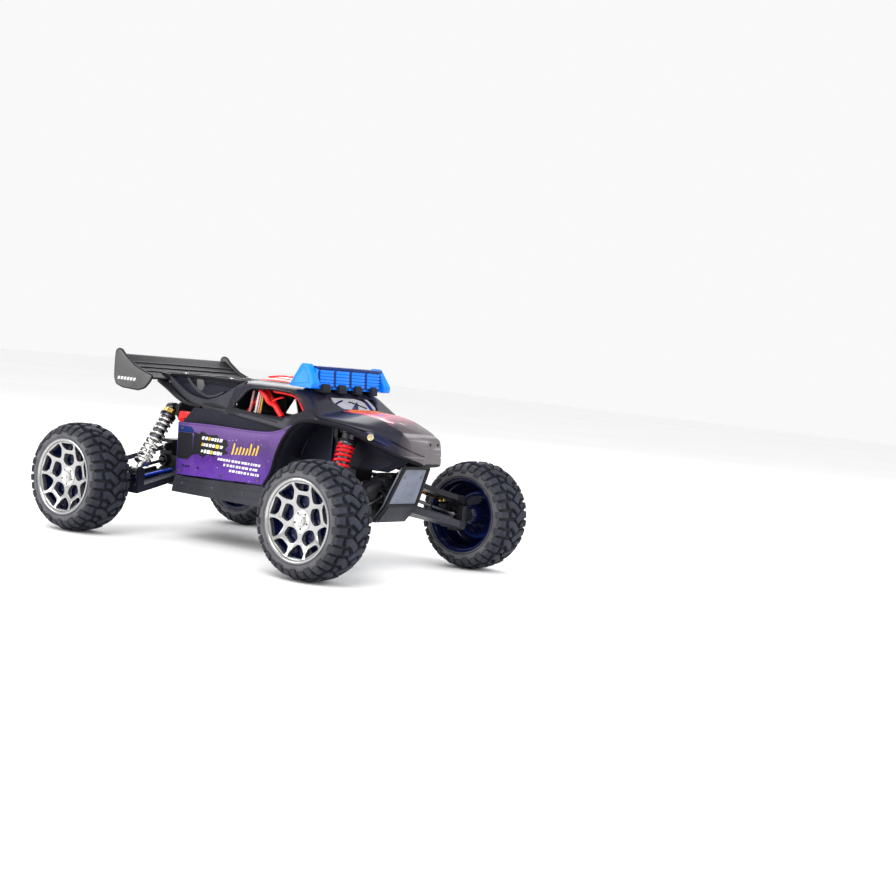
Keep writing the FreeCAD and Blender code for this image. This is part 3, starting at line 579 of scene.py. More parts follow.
def tread_data():
    """All the blocks: curved centre claws, hooked middle blocks and shoulder blocks."""
    pitches = 17
    pitch = 2 * math.pi * TREAD_R / pitches
    verts, faces = [], []

    def put(part):
        base = len(verts)
        verts.extend(part[0])
        faces.extend([[base + i for i in f] for f in part[1]])

    for i in range(pitches):
        for hand, shift in ((1, 0.0), (-1, 0.5)):
            a = (i + shift) * pitch
            put(lug([(a, hand * -1.5), (a + 4.5, hand * 3.5), (a + 7.2, hand * 8.0), (a + 6.0, hand * 12.5)],
                    (6.0, 7.6), 3.3))
            put(lug([(a - 4.5, hand * 5.5), (a - 2.6, hand * 8.0), (a - 2.2, hand * 10.2)], (4.2, 5.4), 3.1))
            put(lug([(a - 2.6, hand * 13.4), (a - 2.4, hand * 17.5), (a - 2.4, hand * 21.5),
                     (a - 2.4, hand * 25.4)], (6.6, 7.6), 2.4))
            put(lug([(a + 6.6, hand * 15.4), (a + 6.8, hand * 18.6), (a + 6.8, hand * 23.2)], (7.8, 7.8),
                    2.2))
    return verts, faces


def sidewall_ribs():
    """A ring of fine radial ribs on each sidewall."""
    verts, faces = [], []
    count = 84
    for hand in (1, -1):
        for i in range(count):
            angle = 2 * math.pi * i / count
            width = 0.55
            base = len(verts)
            for r, lift in ((38.8, 0.25), (42.0, 0.35)):
                y = 22.45 - max(0.0, r - 40.0) * 0.35
                for dw in (-width, width):
                    a = angle + dw / r
                    for dy in (-0.5, lift):
                        verts.append(Vector((r * math.cos(a), hand * (y + dy), r * math.sin(a))))
            faces += [[base + k for k in f] for f in
                      ((0, 1, 3, 2), (4, 6, 7, 5), (0, 4, 5, 1), (2, 3, 7, 6), (1, 5, 7, 3), (0, 2, 6, 4))]
    return verts, faces


def tyres():
    half = CROWN + [(22.6, 36.2), (21.8, 35.4)]
    smooth = [(p.x, p.y) for p in curve_through([(y, r, 0) for y, r in half], 3)]
    outer = [(-y, r) for y, r in reversed(smooth)] + smooth[1:]
    profile = outer + [(16.0, 35.6), (15.0, 45.0), (-15.0, 45.0), (-16.0, 35.6)]
    carcass = lathe_data(profile, 96)
    tread = tread_data()
    ribs = sidewall_ribs()
    rings = [lathe_data([(y, r - 0.5), (y + 0.35, r), (y, r + 0.5), (y - 1.0, r)], 96)
             for y, r in ((22.45, 37.2), (-22.45, 37.2))]
    for corner in CORNERS:
        piece = wheel_part(corner, "tyre_carcass", carcass, "rubber", "tyre_rubber")
        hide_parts("%s_%s_tyre" % corner[:2])
        wheel_part(corner, "tyre_tread", tread, "lug", "tyre_rubber", 25.0)
        wheel_part(corner, "tyre_ribs", ribs, "rubber", "tyre_rubber", 25.0)
        for i, ring in enumerate(rings):
            wheel_part(corner, "tyre_bead_%d" % i, ring, "lug", "tyre_rubber")


# ---- rims ---------------------------------------------------------------------------------
def polar(corners, turn):
    """An outline in the wheel's plane from (radius, degrees) corners on one side of its own axis."""
    full = [(r, -a) for r, a in corners] + [(r, a) for r, a in reversed(corners) if a]
    full = [(r, math.radians(turn + a)) for r, a in full]
    return [Vector((r * math.cos(a), r * math.sin(a))) for r, a in full]


def rim_face_mesh():
    """Dished openwork face: five windows round the hub and ten of two sorts along the lip."""
    profile = [(11.5, 7.0), (15.2, 7.5), (15.6, 12), (15.9, 20), (17.4, 27), (20.6, 33.6), (15.8, 33.6),
               (13.0, 27), (11.6, 20), (11.2, 12)]
    verts, faces = lathe_data(profile, 120)
    face = make("rim_face_blank", verts, faces, "rim")
    windows = ((90.0, [(10.4, 13), (15.6, 30), (22.6, 17)]), (90.0, [(25.4, 10), (28.6, 15.4), (32.7, 15)]),
               (54.0, [(19.4, 0), (23.8, 11.5), (28.2, 16), (32.7, 15.6)]))
    verts, faces = [], []
    for phase, corners in windows:
        for i in range(5):
            outline = rounded(polar(corners, phase + 72 * i), 2.8, 3)
            base = len(verts)
            for y in (4.0, 26.0):
                verts += [(p.x, y, p.y) for p in outline]
            size = len(outline)
            faces.append([base + k for k in range(size)])
            faces.append([base + size + k for k in reversed(range(size))])
            faces += [[base + k, base + size + k, base + size + (k + 1) % size, base + (k + 1) % size]
                      for k in range(size)]
    cutter = make("rim_cutter", verts, faces, "hole")
    subtract(face, cutter)
    bevel(face, 0.55, 50.0)
    bake(face)
    mesh = face.data
    bpy.data.objects.remove(face)
    return [v.co / MM for v in mesh.vertices], [list(p.vertices) for p in mesh.polygons]


def rims():
    """Openwork faces, lips, barrels, hubs, the dark dish behind the openwork, and the hub caps."""
    face = rim_face_mesh()
    turned = (
        ("rim_lip", "rim", 120,
         [(19.5, 33.0), (21.2, 33.2), (22.2, 34.0), (22.5, 35.0), (22.2, 35.9), (21.2, 35.8), (19.6, 35.6)]),
        ("rim_barrel", "barrel", 96,
         [(19.6, 33.2), (19.6, 35.4), (-21.5, 35.4), (-22.4, 36.1), (-22.8, 35.3), (-22.4, 34.0),
          (-21.0, 32.6), (-12.0, 31.6), (-11.0, 30.6), (6.0, 30.2), (12.0, 31.8)]),
        ("rim_hub", "barrel", 48,
         [(-8.2, 6.2), (-8.0, 8.6), (-6.0, 9.4), (6.0, 10.2), (11.6, 11.0), (11.8, 4.0), (-8.2, 4.0)]),
        ("rim_dish", "barrel", 96,
         [(8.4, 9.0), (7.8, 15.0), (6.4, 17.0), (6.2, 20.0), (7.6, 22.0), (8.4, 30.0), (6.8, 31.6),
          (9.6, 31.8), (9.6, 9.0)]),
        # Raised inner ring. Its brighter blue paints a highlight on the dark dish.
        ("rim_inner_ring", "ring_blue", 96,
         [(5.0, 19.5), (3.6, 20.3), (3.0, 21.6), (3.6, 22.9), (5.0, 23.7), (8.0, 23.9), (8.0, 19.3)]),
        ("hub_cap", "cap", 48,
         [(13.4, 4.6), (15.4, 5.6), (16.0, 6.6), (15.8, 8.2), (14.6, 9.2), (12.8, 9.4), (12.4, 4.6)]),
    )
    turned = [(part, lathe_data(profile, segments), mat) for part, mat, segments, profile in turned]
    holes = []
    # The hub cap's five holes are not cut: near-black discs on the cap paint the shade inside them.
    for i in range(5):
        angle = math.radians(72 * i + 54)
        centre = (7.1 * math.cos(angle), 0, 7.1 * math.sin(angle))
        holes.append(lathe_data([(14.0, 0.02), (16.15, 0.02), (16.15, 0.9), (14.0, 0.9)], 12, centre))
    for corner in CORNERS:
        piece = wheel_part(corner, "rim_openwork", face, "rim", "silver_rim")
        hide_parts("%s_%s_wheel_rim" % corner[:2])
        for part, data, mat in turned:
            wheel_part(corner, part, data, mat, "silver_rim", 35.0)
        for i, data in enumerate(holes):
            wheel_part(corner, "hub_cap_hole_%d" % i, data, "hole")


# ---- springs, dampers and drive shafts ----------------------------------------------------
def shock_line(end, side):
    """The damper's two ends, from the boxes of its tube and rod."""
    tube_low, tube_high = node_box(end + "_" + side + "_shock_cylinder")
    rod_low, rod_high = node_box(end + "_" + side + "_shock_rod")
    sy = 1 if side == "left" else -1
    x = (tube_low.x + tube_high.x) / 2
    inner = tube_low.y if sy > 0 else tube_high.y
    outer = rod_high.y if sy > 0 else rod_low.y
    eye_top, eye_foot = 4.6, 4.4
    top = Vector((x, inner + sy * eye_top, tube_high.z - eye_top))
    foot = Vector((x, outer - sy * eye_foot, rod_low.z + eye_foot))
    return top, foot


def springs():
    """Helical coils between the damper's tube and rod, with the caps and collars above them."""
    for end, side, sx, sy in CORNERS:
        top, foot = shock_line(end, side)
        run = (foot - top).normalized()
        length = (foot - top).length
        start, stop = 11.2, length - 12.0
        wire = 1.5 if end == "front" else 1.3
        coil_r = 6.7
        turns = 10 if end == "front" else 9
        steps = 18 * turns
        side_v = run.cross(Vector((1, 0, 0))).normalized()
        up_v = run.cross(side_v)
        path = []
        for i in range(steps + 1):
            t = i / steps
            closed_ends = t - 0.035 * math.sin(2 * math.pi * t)
            s = start + wire + (stop - start - 2 * wire) * closed_ends
            angle = 2 * math.pi * turns * t
            path.append(top + run * s + side_v * coil_r * math.cos(angle) + up_v * coil_r * math.sin(angle))
        mat = "red_coil" if end == "front" else "silver_coil"
        slot = "red_spring" if end == "front" else "silver_spring"
        name = end + "_" + side + "_"
        coil = tube(name + "coil_spring", path, wire, mat, (None, slot), sides=8)
        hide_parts(name + "shock_spring")
        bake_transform(coil)
        cap_mat = "brass" if end == "rear" else "alloy"
        ridges = [(3.6, 2.0), (3.6, 5.8)]
        for i in range(3):
            ridges += [(4.2 + i * 1.4, 6.7), (4.9 + i * 1.4, 6.4)]
        ridges += [(8.6, 6.6), (8.8, 5.4), (8.8, 2.0)]
        lathe(name + "damper_cap", ridges, top, run, cap_mat, (name + "damper_tube", "dark_alloy"), 32)
        lathe(name + "spring_collar", [(8.6, 5.2), (8.7, 7.6), (9.2, 8.1), (10.6, 8.1), (11.0, 7.4),
                (11.0, 5.2)], top, run, "black", (name + "damper_tube", "dark_alloy"), 32)


def dogbones():
    """Wheel drive shafts, each made of two halves, and each half starts from one of the shaft's end balls."""
    half = 33.7
    bar = [(half * k / 8, 1.7) for k in range(3, 8)] + [(half + 0.2, 1.7), (half + 0.2, 0.5)]
    profile = [(0.0, 0.5), (0.6, 2.6), (2.4, 3.4), (4.6, 2.6), (6.2, 1.7)] + bar
    for end, side, sx, sy in CORNERS:
        inner = Vector((sx * 141, sy * 17.5, 70))
        outer = Vector((sx * 149, sy * 84.5, 53))
        run = (outer - inner).normalized()
        name = end + "_" + side + "_"
        halves = (("inner", inner, run, "chassis"), ("outer", outer, -run, name + "hub"))
        for part, start, way, mount in halves:
            shaft = lathe(name + part + "_drive_shaft", profile, start, way, "alloy", (None, "steel"), 24)
            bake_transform(shaft)


# ---- body shell ---------------------------------------------------------------------------
# Each station: x, then (half-width, height) of the top edge, the shoulder and the lower edge.
STATIONS = [
    (-24, (33, 158), (45, 155), (57, 128)),
    (-10, (36, 160), (48, 156.5), (58, 127)),
    (30, (38, 160), (50, 157), (59, 123)),
    (60, (39, 160), (50.5, 156.5), (60, 119.5)),
    (72, (36, 156.5), (50, 153), (60, 129)),
    (93, (24, 142), (60, 136), (61, 131.5)),
    (121, (22, 141), (50, 132.5), (51, 127.5)),
    (138, (20, 138.5), (42, 130), (43, 120)),
    (156, (15, 134), (27.5, 124), (28.5, 110.5)),
    (169, (12, 130), (18, 117), (18.8, 106)),
    (179, (7, 125), (10.5, 113), (11, 103)),
]
SHELL_X0, SHELL_X1 = STATIONS[0][0], STATIONS[-1][0]


def station_at(x):
    """The three section points at x, with the creases between stations eased."""
    def plain(at):
        at = min(max(at, SHELL_X0), SHELL_X1)
        for a, b in zip(STATIONS, STATIONS[1:]):
            if at <= b[0]:
                t = (at - a[0]) / (b[0] - a[0])
                return [Vector(p) * (1 - t) + Vector(q) * t for p, q in zip(a[1:], b[1:])]

    reach = 3.2 if 60 < x < 100 else 5.0
    samples = [plain(x + reach * k / 2) for k in (-2, -1, 0, 1, 2)]
    weights = (1, 2, 2, 2, 1)
    return [sum((s[i] * w for s, w in zip(samples, weights)), Vector((0, 0))) / 8 for i in range(3)]


def section(x):
    """Half of the outer section at x, from the lower edge to the centre line."""
    top, shoulder, low = station_at(x)
    crown = Vector((0, top.y + 0.8))
    corner = 5.0
    out = [low + (shoulder - low) * k / 7 for k in range(6)]
    for before, at, after, reach in ((low, shoulder, top, corner), (shoulder, top, crown, corner * 1.3)):
        a = at + (before - at).normalized() * min(reach, (before - at).length * 0.4)
        b = at + (after - at).normalized() * min(reach, (after - at).length * 0.4)
        if before is shoulder:
            out += [out[-1] + (a - out[-1]) * k / 4 for k in range(1, 4)]
        for k in range(6):
            t = k / 5
            out.append(a * (1 - t) ** 2 + at * 2 * t * (1 - t) + b * t ** 2)
    last = out[-1]
    out += [last + (crown - last) * k / 5 for k in range(1, 6)]
    return out


def shell_surface(x):
    half = section(x)
    return [(x, -p.x, p.y) for p in half] + [(x, p.x, p.y) for p in reversed(half[:-1])]


WINDOW = rounded([(-19, 133), (-4, 153.6), (27, 155.2), (56, 154), (75, 139.5), (45, 128.8), (22, 130.2)],
                 6.0, 4)


def side_y(x, z):
    """Half-width of the shell's outside at a height below the shoulder."""
    top, shoulder, low = station_at(x)
    t = min(1.0, max(0.0, (z - low.y) / max(0.1, shoulder.y - low.y)))
    return low.x + (shoulder.x - low.x) * t


def body_shell():
    """The cab and bonnet as one thin moulding, with its side windows and windscreen cut out."""
    columns = 104
    verts = []
    for i in range(columns + 1):
        verts += shell_surface(SHELL_X0 + (SHELL_X1 - SHELL_X0) * i / columns)
    count = len(verts) // (columns + 1)
    faces = sheet_faces(columns + 1, count) + [[columns * count + k for k in range(count)]]
    shell = make("shell_cab_and_bonnet", verts, faces, "shell", SHELL, 32.0)
    thicken(shell, 1.5)
    mesh = bmesh.new()
    mesh.from_mesh(shell.data)
    bmesh.ops.recalc_face_normals(mesh, faces=mesh.faces)
    mesh.to_mesh(shell.data)
    mesh.free()
    subtract(shell, slab("side_window_cut", WINDOW, -80, 80, "hole", None, 0))
    screen = rounded([(-25, 144), (25, 144), (35, 153.6), (-35, 153.6)], 3.0, 4)
    subtract(shell, slab("screen_cut", screen, 66, 112, "hole", None, 0, axis="x"))
    bevel(shell, 0.45, 50.0)
    bake(shell)
    shell.data.shade_smooth()
    shell.data.set_sharp_from_angle(angle=math.radians(38))
    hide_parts("body_shell")


def window_trim():
    """A raised rim round each side window and the red lining at its front."""
    for side, sy in SIDES:
        rim = [(p.x, sy * (side_y(p.x, p.y) + 0.25), p.y) for p in WINDOW]
        tube("side_window_rim_" + side, rim, 0.9, "black", SHELL, flat=1.3, sides=8, closed=True)
        lining = curve_through([(26, 0, 153.2), (45, 0, 152.4), (56, 0, 150.0), (63, 0, 144.0),
                (69, 0, 138.5)], 5)
        path = [(p.x, sy * (side_y(p.x, p.z) - 3.6), p.z) for p in lining]
        tube("side_window_red_lining_" + side, path, 1.3, "red", CAGE, flat=1.2)


def boom_y(x, z):
    """The boom's middle: upright at the wing, leaning out to meet the cab."""
    t = min(1.0, max(0.0, (x + 74) / 46))
    t = t * t * (3 - 2 * t)
    return 44.5 + t * (side_y(-22, min(z, 154)) - 1.0 - 44.5)


def bend_boom(piece, sy):
    for v in piece.data.vertices:
        x, y, z = (c / MM for c in v.co)
        v.co.y = (y + sy * (boom_y(x, z) - 44.5)) * MM


def booms():
    """Rear booms with their bars, braces and webs, the sills below the windows and the cross tubes."""
    arc_top = curve_through([(-12, 159.5), (-23, 154), (-33, 146.5), (-46, 140.5), (-62, 137.6), (-84, 140.6),
            (-101, 148.2), (-113.6, 156)], 5)
    arc_low = curve_through([(-113.6, 149.5), (-103, 142.5), (-86, 133.6), (-66, 128.8), (-44, 126.8),
            (-20, 126.6)], 5)
    arc = [(p.x, p.y) for p in arc_top + arc_low]
    bar = [(-14, 159.6), (-60, 160.0), (-113.6, 158.4), (-113.6, 155.2), (-60, 157.0), (-18, 156.4)]
    lower_bar = [(-22, 154.6), (-58, 154.8), (-100, 152.4), (-100, 150.8), (-58, 152.6), (-24, 152.0)]
    brace_out = curve_through([(-88, 156.5), (-80, 150), (-70, 144.5), (-58, 142), (-46, 144), (-36, 148)], 4)
    brace_in = curve_through([(-37, 145.5), (-46, 141.4), (-58, 139.4), (-71, 141.8), (-82, 147.6),
            (-91, 155)], 4)
    brace = [(p.x, p.y) for p in brace_out + brace_in]
    tab = rounded([(-78, 156), (-69, 156), (-66, 150), (-69, 144), (-76, 146)], 1.5, 2)
    web = [(p.x, p.y) for p in arc_top] + [(-112, 158), (-60, 159), (-16, 159)]
    # The flange is a real shape, and its near-black colour, darker than the charcoal arc, is painted shade on
    # it.
    flange_top = curve_through([(-126, 156), (-113, 148), (-97, 138.6), (-84, 133), (-66, 130.5)], 4)
    flange_low = curve_through([(-66, 128.6), (-84, 129.6), (-98, 133.4), (-114, 141.6), (-129, 148.6)], 4)
    flange = [(p.x, p.y) for p in flange_top + flange_low]
    for side, sy in SIDES:
        for name, outline, y_in, y_out, mat in (
                ("boom_arc", arc, 42.2, 46.8, "charcoal"), ("boom_top_bar", bar, 42.2, 46.2, "wing"),
                ("boom_lower_bar", lower_bar, 42.8, 45.4, "wing"), ("boom_brace", brace, 43.0, 46.6, "charcoal"),
                ("boom_web", web, 42.6, 44.0, "liner"), ("boom_flange", flange, 44.0, 49.4, "black"),
                ("boom_tab", tab, 43.4, 46.2, "end_plate")):
            piece = slab(name + "_" + side, outline, sy * y_in, sy * y_out, mat, SHELL, 0.8)
            bend_boom(piece, sy)
        sill_top = curve_through([(-66, 0, 133), (-40, 0, 133), (-14, 0, 130.5), (20, 0, 128),
                (44, 0, 125.5)], 5)
        path = [(p.x, sy * (boom_y(p.x, p.z) + 1.2 if p.x < -24 else side_y(p.x, p.z) + 0.4), p.z)
                for p in sill_top]
        tube("sill_roll_" + side, path, 1.6, "black", SHELL, flat=0.8, sides=10)
    for x, z in ((-92, 156.6), (-40, 157.6)):
        path = [(x, -44, z), (x + 2, 0, z + 1.5), (x, 44, z)]
        tube("boom_cross_tube_%d" % abs(x), curve_through(path, 6), 1.8, "black", SHELL)


ARCH = [(36, 60.4, 67.5), (43.5, 60.6, 80), (48.5, 60.8, 98), (55, 61, 112), (64, 61.2, 123),
        (75, 61.4, 129.6), (92, 61.4, 131.6), (106, 57.0, 130.4), (121, 51.6, 127.4), (138, 43.6, 120),
        (156, 29.0, 110.8), (169, 19.3, 106), (178, 11.6, 103.4)]


def arch_bands():
    """The rolled wheel-arch lip, from the chassis rail over the wheel to the nose."""
    for side, sy in SIDES:
        path = curve_through([(x, sy * y, z) for x, y, z in ARCH], 6)
        tube("wheel_arch_lip_" + side, path, 1.7, "wing", SHELL, flat=1.5)


def well_walls():
    """Dark walls that close the front wheel wells: one behind the wheel and one along each side."""
    for side, sy in SIDES:
        outer = curve_through([(x, 0, z) for x, y, z in ARCH[:6]], 5)
        verts = []
        widths = (59.0, 52.0, 44.0, 36.0, 30.5, 26.2)
        for p in outer:
            for k, y in enumerate(widths):
                drop = 0.0 if k else -0.6
                verts.append((p.x + 1.2 * math.sin(k * 0.8) + drop, sy * y, p.z))
        faces = sheet_faces(len(outer), len(widths))
        wall = make("wheel_well_back_" + side, verts, faces, "liner", SHELL, 40.0)
        thicken(wall, 1.2, 0.0)
        rear = rounded([(46.5, 92), (96.5, 92), (96.5, 137), (84, 138), (74, 129.8), (64, 123.4),
                        (55.4, 112.4), (49, 98.4)], 1.5, 2)
        front = rounded([(105.5, 93), (132, 93), (150, 93), (163.5, 101.5), (168, 107.0), (158, 121),
                         (140, 131.5), (122, 136.0), (105.5, 137.2)], 1.5, 2)
        for name, outline in (("rear", rear), ("front", front)):
            panel = slab("wheel_well_%s_%s" % (name, side), outline, sy * 26.0, sy * 27.4, "liner", SHELL,
                         0.4)
            for v in panel.data.vertices:
                pinch = max(0.0, v.co.x / MM - 140) * 0.36
                v.co.y -= sy * pinch * MM
        for x in (86, 92.5):
            y = sy * 29.0
            tube("well_column_%s_%d" % (side, int(x)), [(x, y, 93), (x, y, 118), (x, y, 134)], 1.5, "navy",
                 SHELL, sides=8)


def gap_shade_sheets():
    """Near-black sheets set back between the side panels and the cab: painted shade that fills the dark gap
    above the panels.
    """
    outline = [(-79, 113.5), (-40, 112), (50, 106.5), (57, 118), (40, 124), (-20, 128.5), (-66, 129)]
    for side, sy in SIDES:
        slab("side_gap_shade_" + side, outline, sy * 56.4, sy * 57.9, "liner", SHELL, 0.3)


def headlights():
    """Dark oval lamp on each side of the bonnet, with an amber reflector and a small lamp."""
    for side, sy in SIDES:
        centre = [(128, 45.6, 124.6), (138, 42.4, 124.6), (149, 34.8, 121.0), (160, 25.4, 115.2)]
        spine = curve_through([(x, sy * y, z) for x, y, z in centre], 6)
        verts, faces = [], []
        count = 14
        last = len(spine) - 1
        for i, p in enumerate(spine):
            t = i / last
            size = max(0.05, math.sin(math.pi * min(0.985, max(0.015, t))) ** 0.6)
            for k in range(count):
                a = 2 * math.pi * k / count
                verts.append((p.x, p.y + sy * 1.9 * size * math.cos(a), p.z + 4.6 * size * math.sin(a)))
        for i in range(last):
            for k in range(count):
                a, b = i * count + k, i * count + (k + 1) % count
                faces.append([a, a + count, b + count, b] if sy < 0 else [b, b + count, a + count, a])
        faces += [list(range(count)), [last * count + k for k in reversed(range(count))]]
        make("headlight_shell_" + side, verts, faces, "navy", SHELL, 60.0)
        beam = Vector((0.35, sy * 0.93, 0.12)).normalized()
        start = Vector((141.5, sy * 42.6, 123.4))
        lathe("headlight_reflector_" + side, [(0.0, 0.1), (0.0, 2.0), (0.9, 2.9), (1.4, 3.1), (1.2, 2.5),
                (0.6, 1.0), (0.5, 0.1)], start, beam, "amber", ("body_assembly", None), 28)
        lathe("headlight_small_lamp_" + side, [(0.0, 0.1), (0.0, 1.2), (0.8, 1.6), (1.0, 1.3), (0.7, 0.1)],
              start + Vector((-8.6, sy * 2.9, 1.0)), beam, "cap", ("body_assembly", None), 20)


def bonnet_z(x, y):
    """Height of the shell's outside, y from its centre line."""
    half = section(x)
    for a, b in zip(half, half[1:]):
        if b.x <= abs(y) <= a.x:
            t = (a.x - abs(y)) / max(1e-6, a.x - b.x)
            return a.y + (b.y - a.y) * t
    return half[-1].y


def bonnet_details():
    """Raised bonnet ribs, the crease line beside them, fasteners, and the nose's lip and slats."""
    for side, sy in SIDES:
        for name, offset, radius, mat, x0, x1 in (("rib", 0.0, 1.1, "shell", 95, 172),
                                                  ("crease", 9.0, 0.8, "wing", 97, 150)):
            path = []
            for i in range(20):
                x = x0 + (x1 - x0) * i / 19
                y = station_at(x)[0].x + offset * (1 - 0.55 * i / 19)
                path.append((x, sy * y, bonnet_z(x, y) + 0.1))
            tube("bonnet_%s_%s" % (name, side), path, radius, mat, SHELL, flat=1.8, sides=8)
        for x, y in ((103, 16), (160, 9)):
            z = bonnet_z(x, y)
            lathe("bonnet_button_%s_%d" % (side, x), [(-0.4, 0.1), (-0.4, 2.0), (0.7, 1.8), (1.1, 1.2),
                    (1.1, 0.1)], (x, sy * y, z), (0, 0, 1), "black", SHELL, 20)
    lip = curve_through([(177.0, -11.5, 104), (179.4, -9, 103), (180.2, 0, 102.6), (179.4, 9, 103),
            (177.0, 11.5, 104)], 5)
    tube("nose_lower_lip", lip, 1.5, "black", SHELL)
    for y in (-5.5, 5.5):
        lathe("nose_stud_%s" % ("right" if y < 0 else "left"), [(-0.5, 0.1), (-0.5, 1.9), (1.4, 1.7),
                (2.0, 1.0), (2.0, 0.1)], (178.6, y, 121.5), (1, 0, 0.1), "black", SHELL, 20)
    slats = [(176.5, 109.5), (179.9, 109.0), (179.9, 110.8), (176.5, 111.3)]
    for i in range(3):
        slab("nose_slat_%d" % i, [(x, z + 3.4 * i) for x, z in slats], -7.5 + i * 0.6, 7.5 - i * 0.6, "black",
             SHELL, 0.4)


def roof_details():
    """Salmon roof lens with its ribs, and the roof's two rails."""
    verts = []
    rows, columns = 10, 14
    x0, x1, half = -17.0, 29.0, 23.0
    for i in range(rows + 1):
        for k in range(columns + 1):
            u, v = i / rows, k / columns * 2 - 1
            lift = 4.6 * (1 - abs(v) ** 3) * math.sin(math.pi * (0.08 + u * 0.86)) ** 0.5
            verts.append((x0 + (x1 - x0) * u, half * v, 161.4 + lift * 1.25))
    faces = [[a, d, c, b] for a, b, c, d in sheet_faces(rows + 1, columns + 1)]
    lens = make("roof_lens", verts, faces, "roof_lens", CAGE, 50.0)
    thicken(lens, 1.0)
    for y in (-14, 0, 14):
        path = curve_through([(-14, y, 165.0), (6, y, 167.4), (25, y, 165.6)], 5)
        tube("roof_lens_rib_%d" % (y + 20), path, 0.7, "red", CAGE, sides=8)
    for y in (-31, 31):
        path = curve_through([(-20, y, 160.2), (20, y, 161.2), (58, y, 161.2)], 6)
        tube("roof_rail_%s" % ("right" if y < 0 else "left"), path, 1.1, "wing", SHELL, flat=1.6, sides=8)


def screens():
    """Clear windscreen, its frame and wiper, and the orange strip along its foot."""
    bottom, top = Vector((91.6, 0, 143.4)), Vector((75.6, 0, 154.0))
    verts = []
    rows, columns = 6, 12
    for i in range(rows + 1):
        t = i / rows
        p = bottom.lerp(top, t)
        half = 26.5 + 9.5 * t
        for k in range(columns + 1):
            v = k / columns * 2 - 1
            verts.append((p.x - 1.6 * v * v, half * v, p.z - 0.7 * v * v))
    faces = sheet_faces(rows + 1, columns + 1)
    glass = make("windscreen", verts, faces, "glass", SHELL, 60.0)
    thicken(glass, 0.7)
    ring = [(bottom.x + 0.6, -26, bottom.z - 0.4), (bottom.x + 0.6, 26, bottom.z - 0.4), (top.x, 36, top.z),
            (top.x, -36, top.z)]
    tube("windscreen_frame", rounded(ring, 5.0, 5), 1.0, "black", SHELL, sides=8, closed=True)
    strip = [(92.6, -24, 142.6), (95.0, -10, 142.9), (95.4, 4, 142.9), (94.6, 20, 142.7)]
    tube("windscreen_orange_strip", curve_through(strip, 5), 1.3, "orange", CAGE, flat=1.6)
    wiper = [(90.5, 10, 145.6), (84.5, -3, 149.6), (83.0, -8, 150.4)]
    tube("wiper_arm", curve_through(wiper, 4), 0.6, "black", SHELL, sides=8)


def cockpit():
    """Near-black cabin floor and back as painted shade inside the cab, then dash, seats, red cage arms, seat
    strips, white gussets and red blocks.
    """
    # Painted shade: the floor and back are near-black sheets that stand for the shaded inside of the cab.
    floor = [(-21, -52), (66, -53), (86, -50), (86, 50), (66, 53), (-21, 52)]
    slab("cabin_shade_floor", floor, 129.2, 130.6, "liner", SHELL, 0.3, axis="z")
    dash = rounded([(68, 131), (90, 131), (90, 138.6), (82, 142.0), (74, 141.5), (68, 136)], 2.5, 3)
    slab("dashboard", dash, -44, 44, "navy", SHELL, 0.9)
    back = [(-47, 131), (47, 131), (41, 154), (-41, 154)]
    slab("cabin_shade_back", rounded(back, 4, 3), -22, -20.4, "liner", SHELL, 0.4, axis="x")
    for side, sy in SIDES:
        seat = curve_through([(4, 131), (2, 138), (-4, 148), (-9, 152), (-13, 151), (-10, 141), (-8, 131)], 3)
        slab("seat_" + side, [(p.x, p.y) for p in seat], sy * 10, sy * 32, "black", SHELL, 1.2)
        arm = curve_through([(6, sy * 44, 152.5), (13, sy * 45, 148.5), (19, sy * 45.5, 142.5),
                (27, sy * 46, 140.0), (33, sy * 46, 134.0), (37, sy * 46, 130.6)], 5)
        tube("red_cage_arm_" + side, arm, 2.3, "red", CAGE, flat=1.35)
        stay = [(20, sy * 45, 142.0), (27, sy * 44, 146.5), (33, sy * 42, 148.5)]
        tube("red_cage_stay_" + side, curve_through(stay, 4), 1.0, "red", CAGE)
        for i, (x, lean, width, mat) in enumerate(((-9.5, 3.5, 2.2, "pink"), (-5.5, 3.5, 1.4, "black"),
                                                   (-2.0, 3.0, 2.0, "white"), (1.6, 2.6, 1.6, "pink"),
                                                   (4.6, 2.2, 1.2, "gold"))):
            strip = [(x, 131), (x + width, 131), (x + width + lean, 151.5), (x + lean, 151.5)]
            slab("seat_strip_%s_%d" % (side, i), strip, sy * 41.0, sy * 42.4, mat, SHELL, 0.3)
        gusset = rounded([(40, 134.5), (55, 134.0), (50, 149.5)], 1.2, 2)
        slab("white_gusset_" + side, gusset, sy * 43.5, sy * 45.0, "white", SHELL, 0.4)
        block = rounded([(-94, 113.5), (-73, 112.5), (-72, 122), (-92, 123.5)], 2.0, 3)
        slab("red_block_" + side, block, sy * 41, sy * 51, "red", CAGE, 0.9)
        shelf = [(-79, 51), (-79, 57), (-71, 57), (-71, 51)]
        slab("red_block_bracket_" + side, [(x, sy * y) for x, y in shelf], 114.5, 117.5, "black", SHELL, 0.4,
             axis="z")


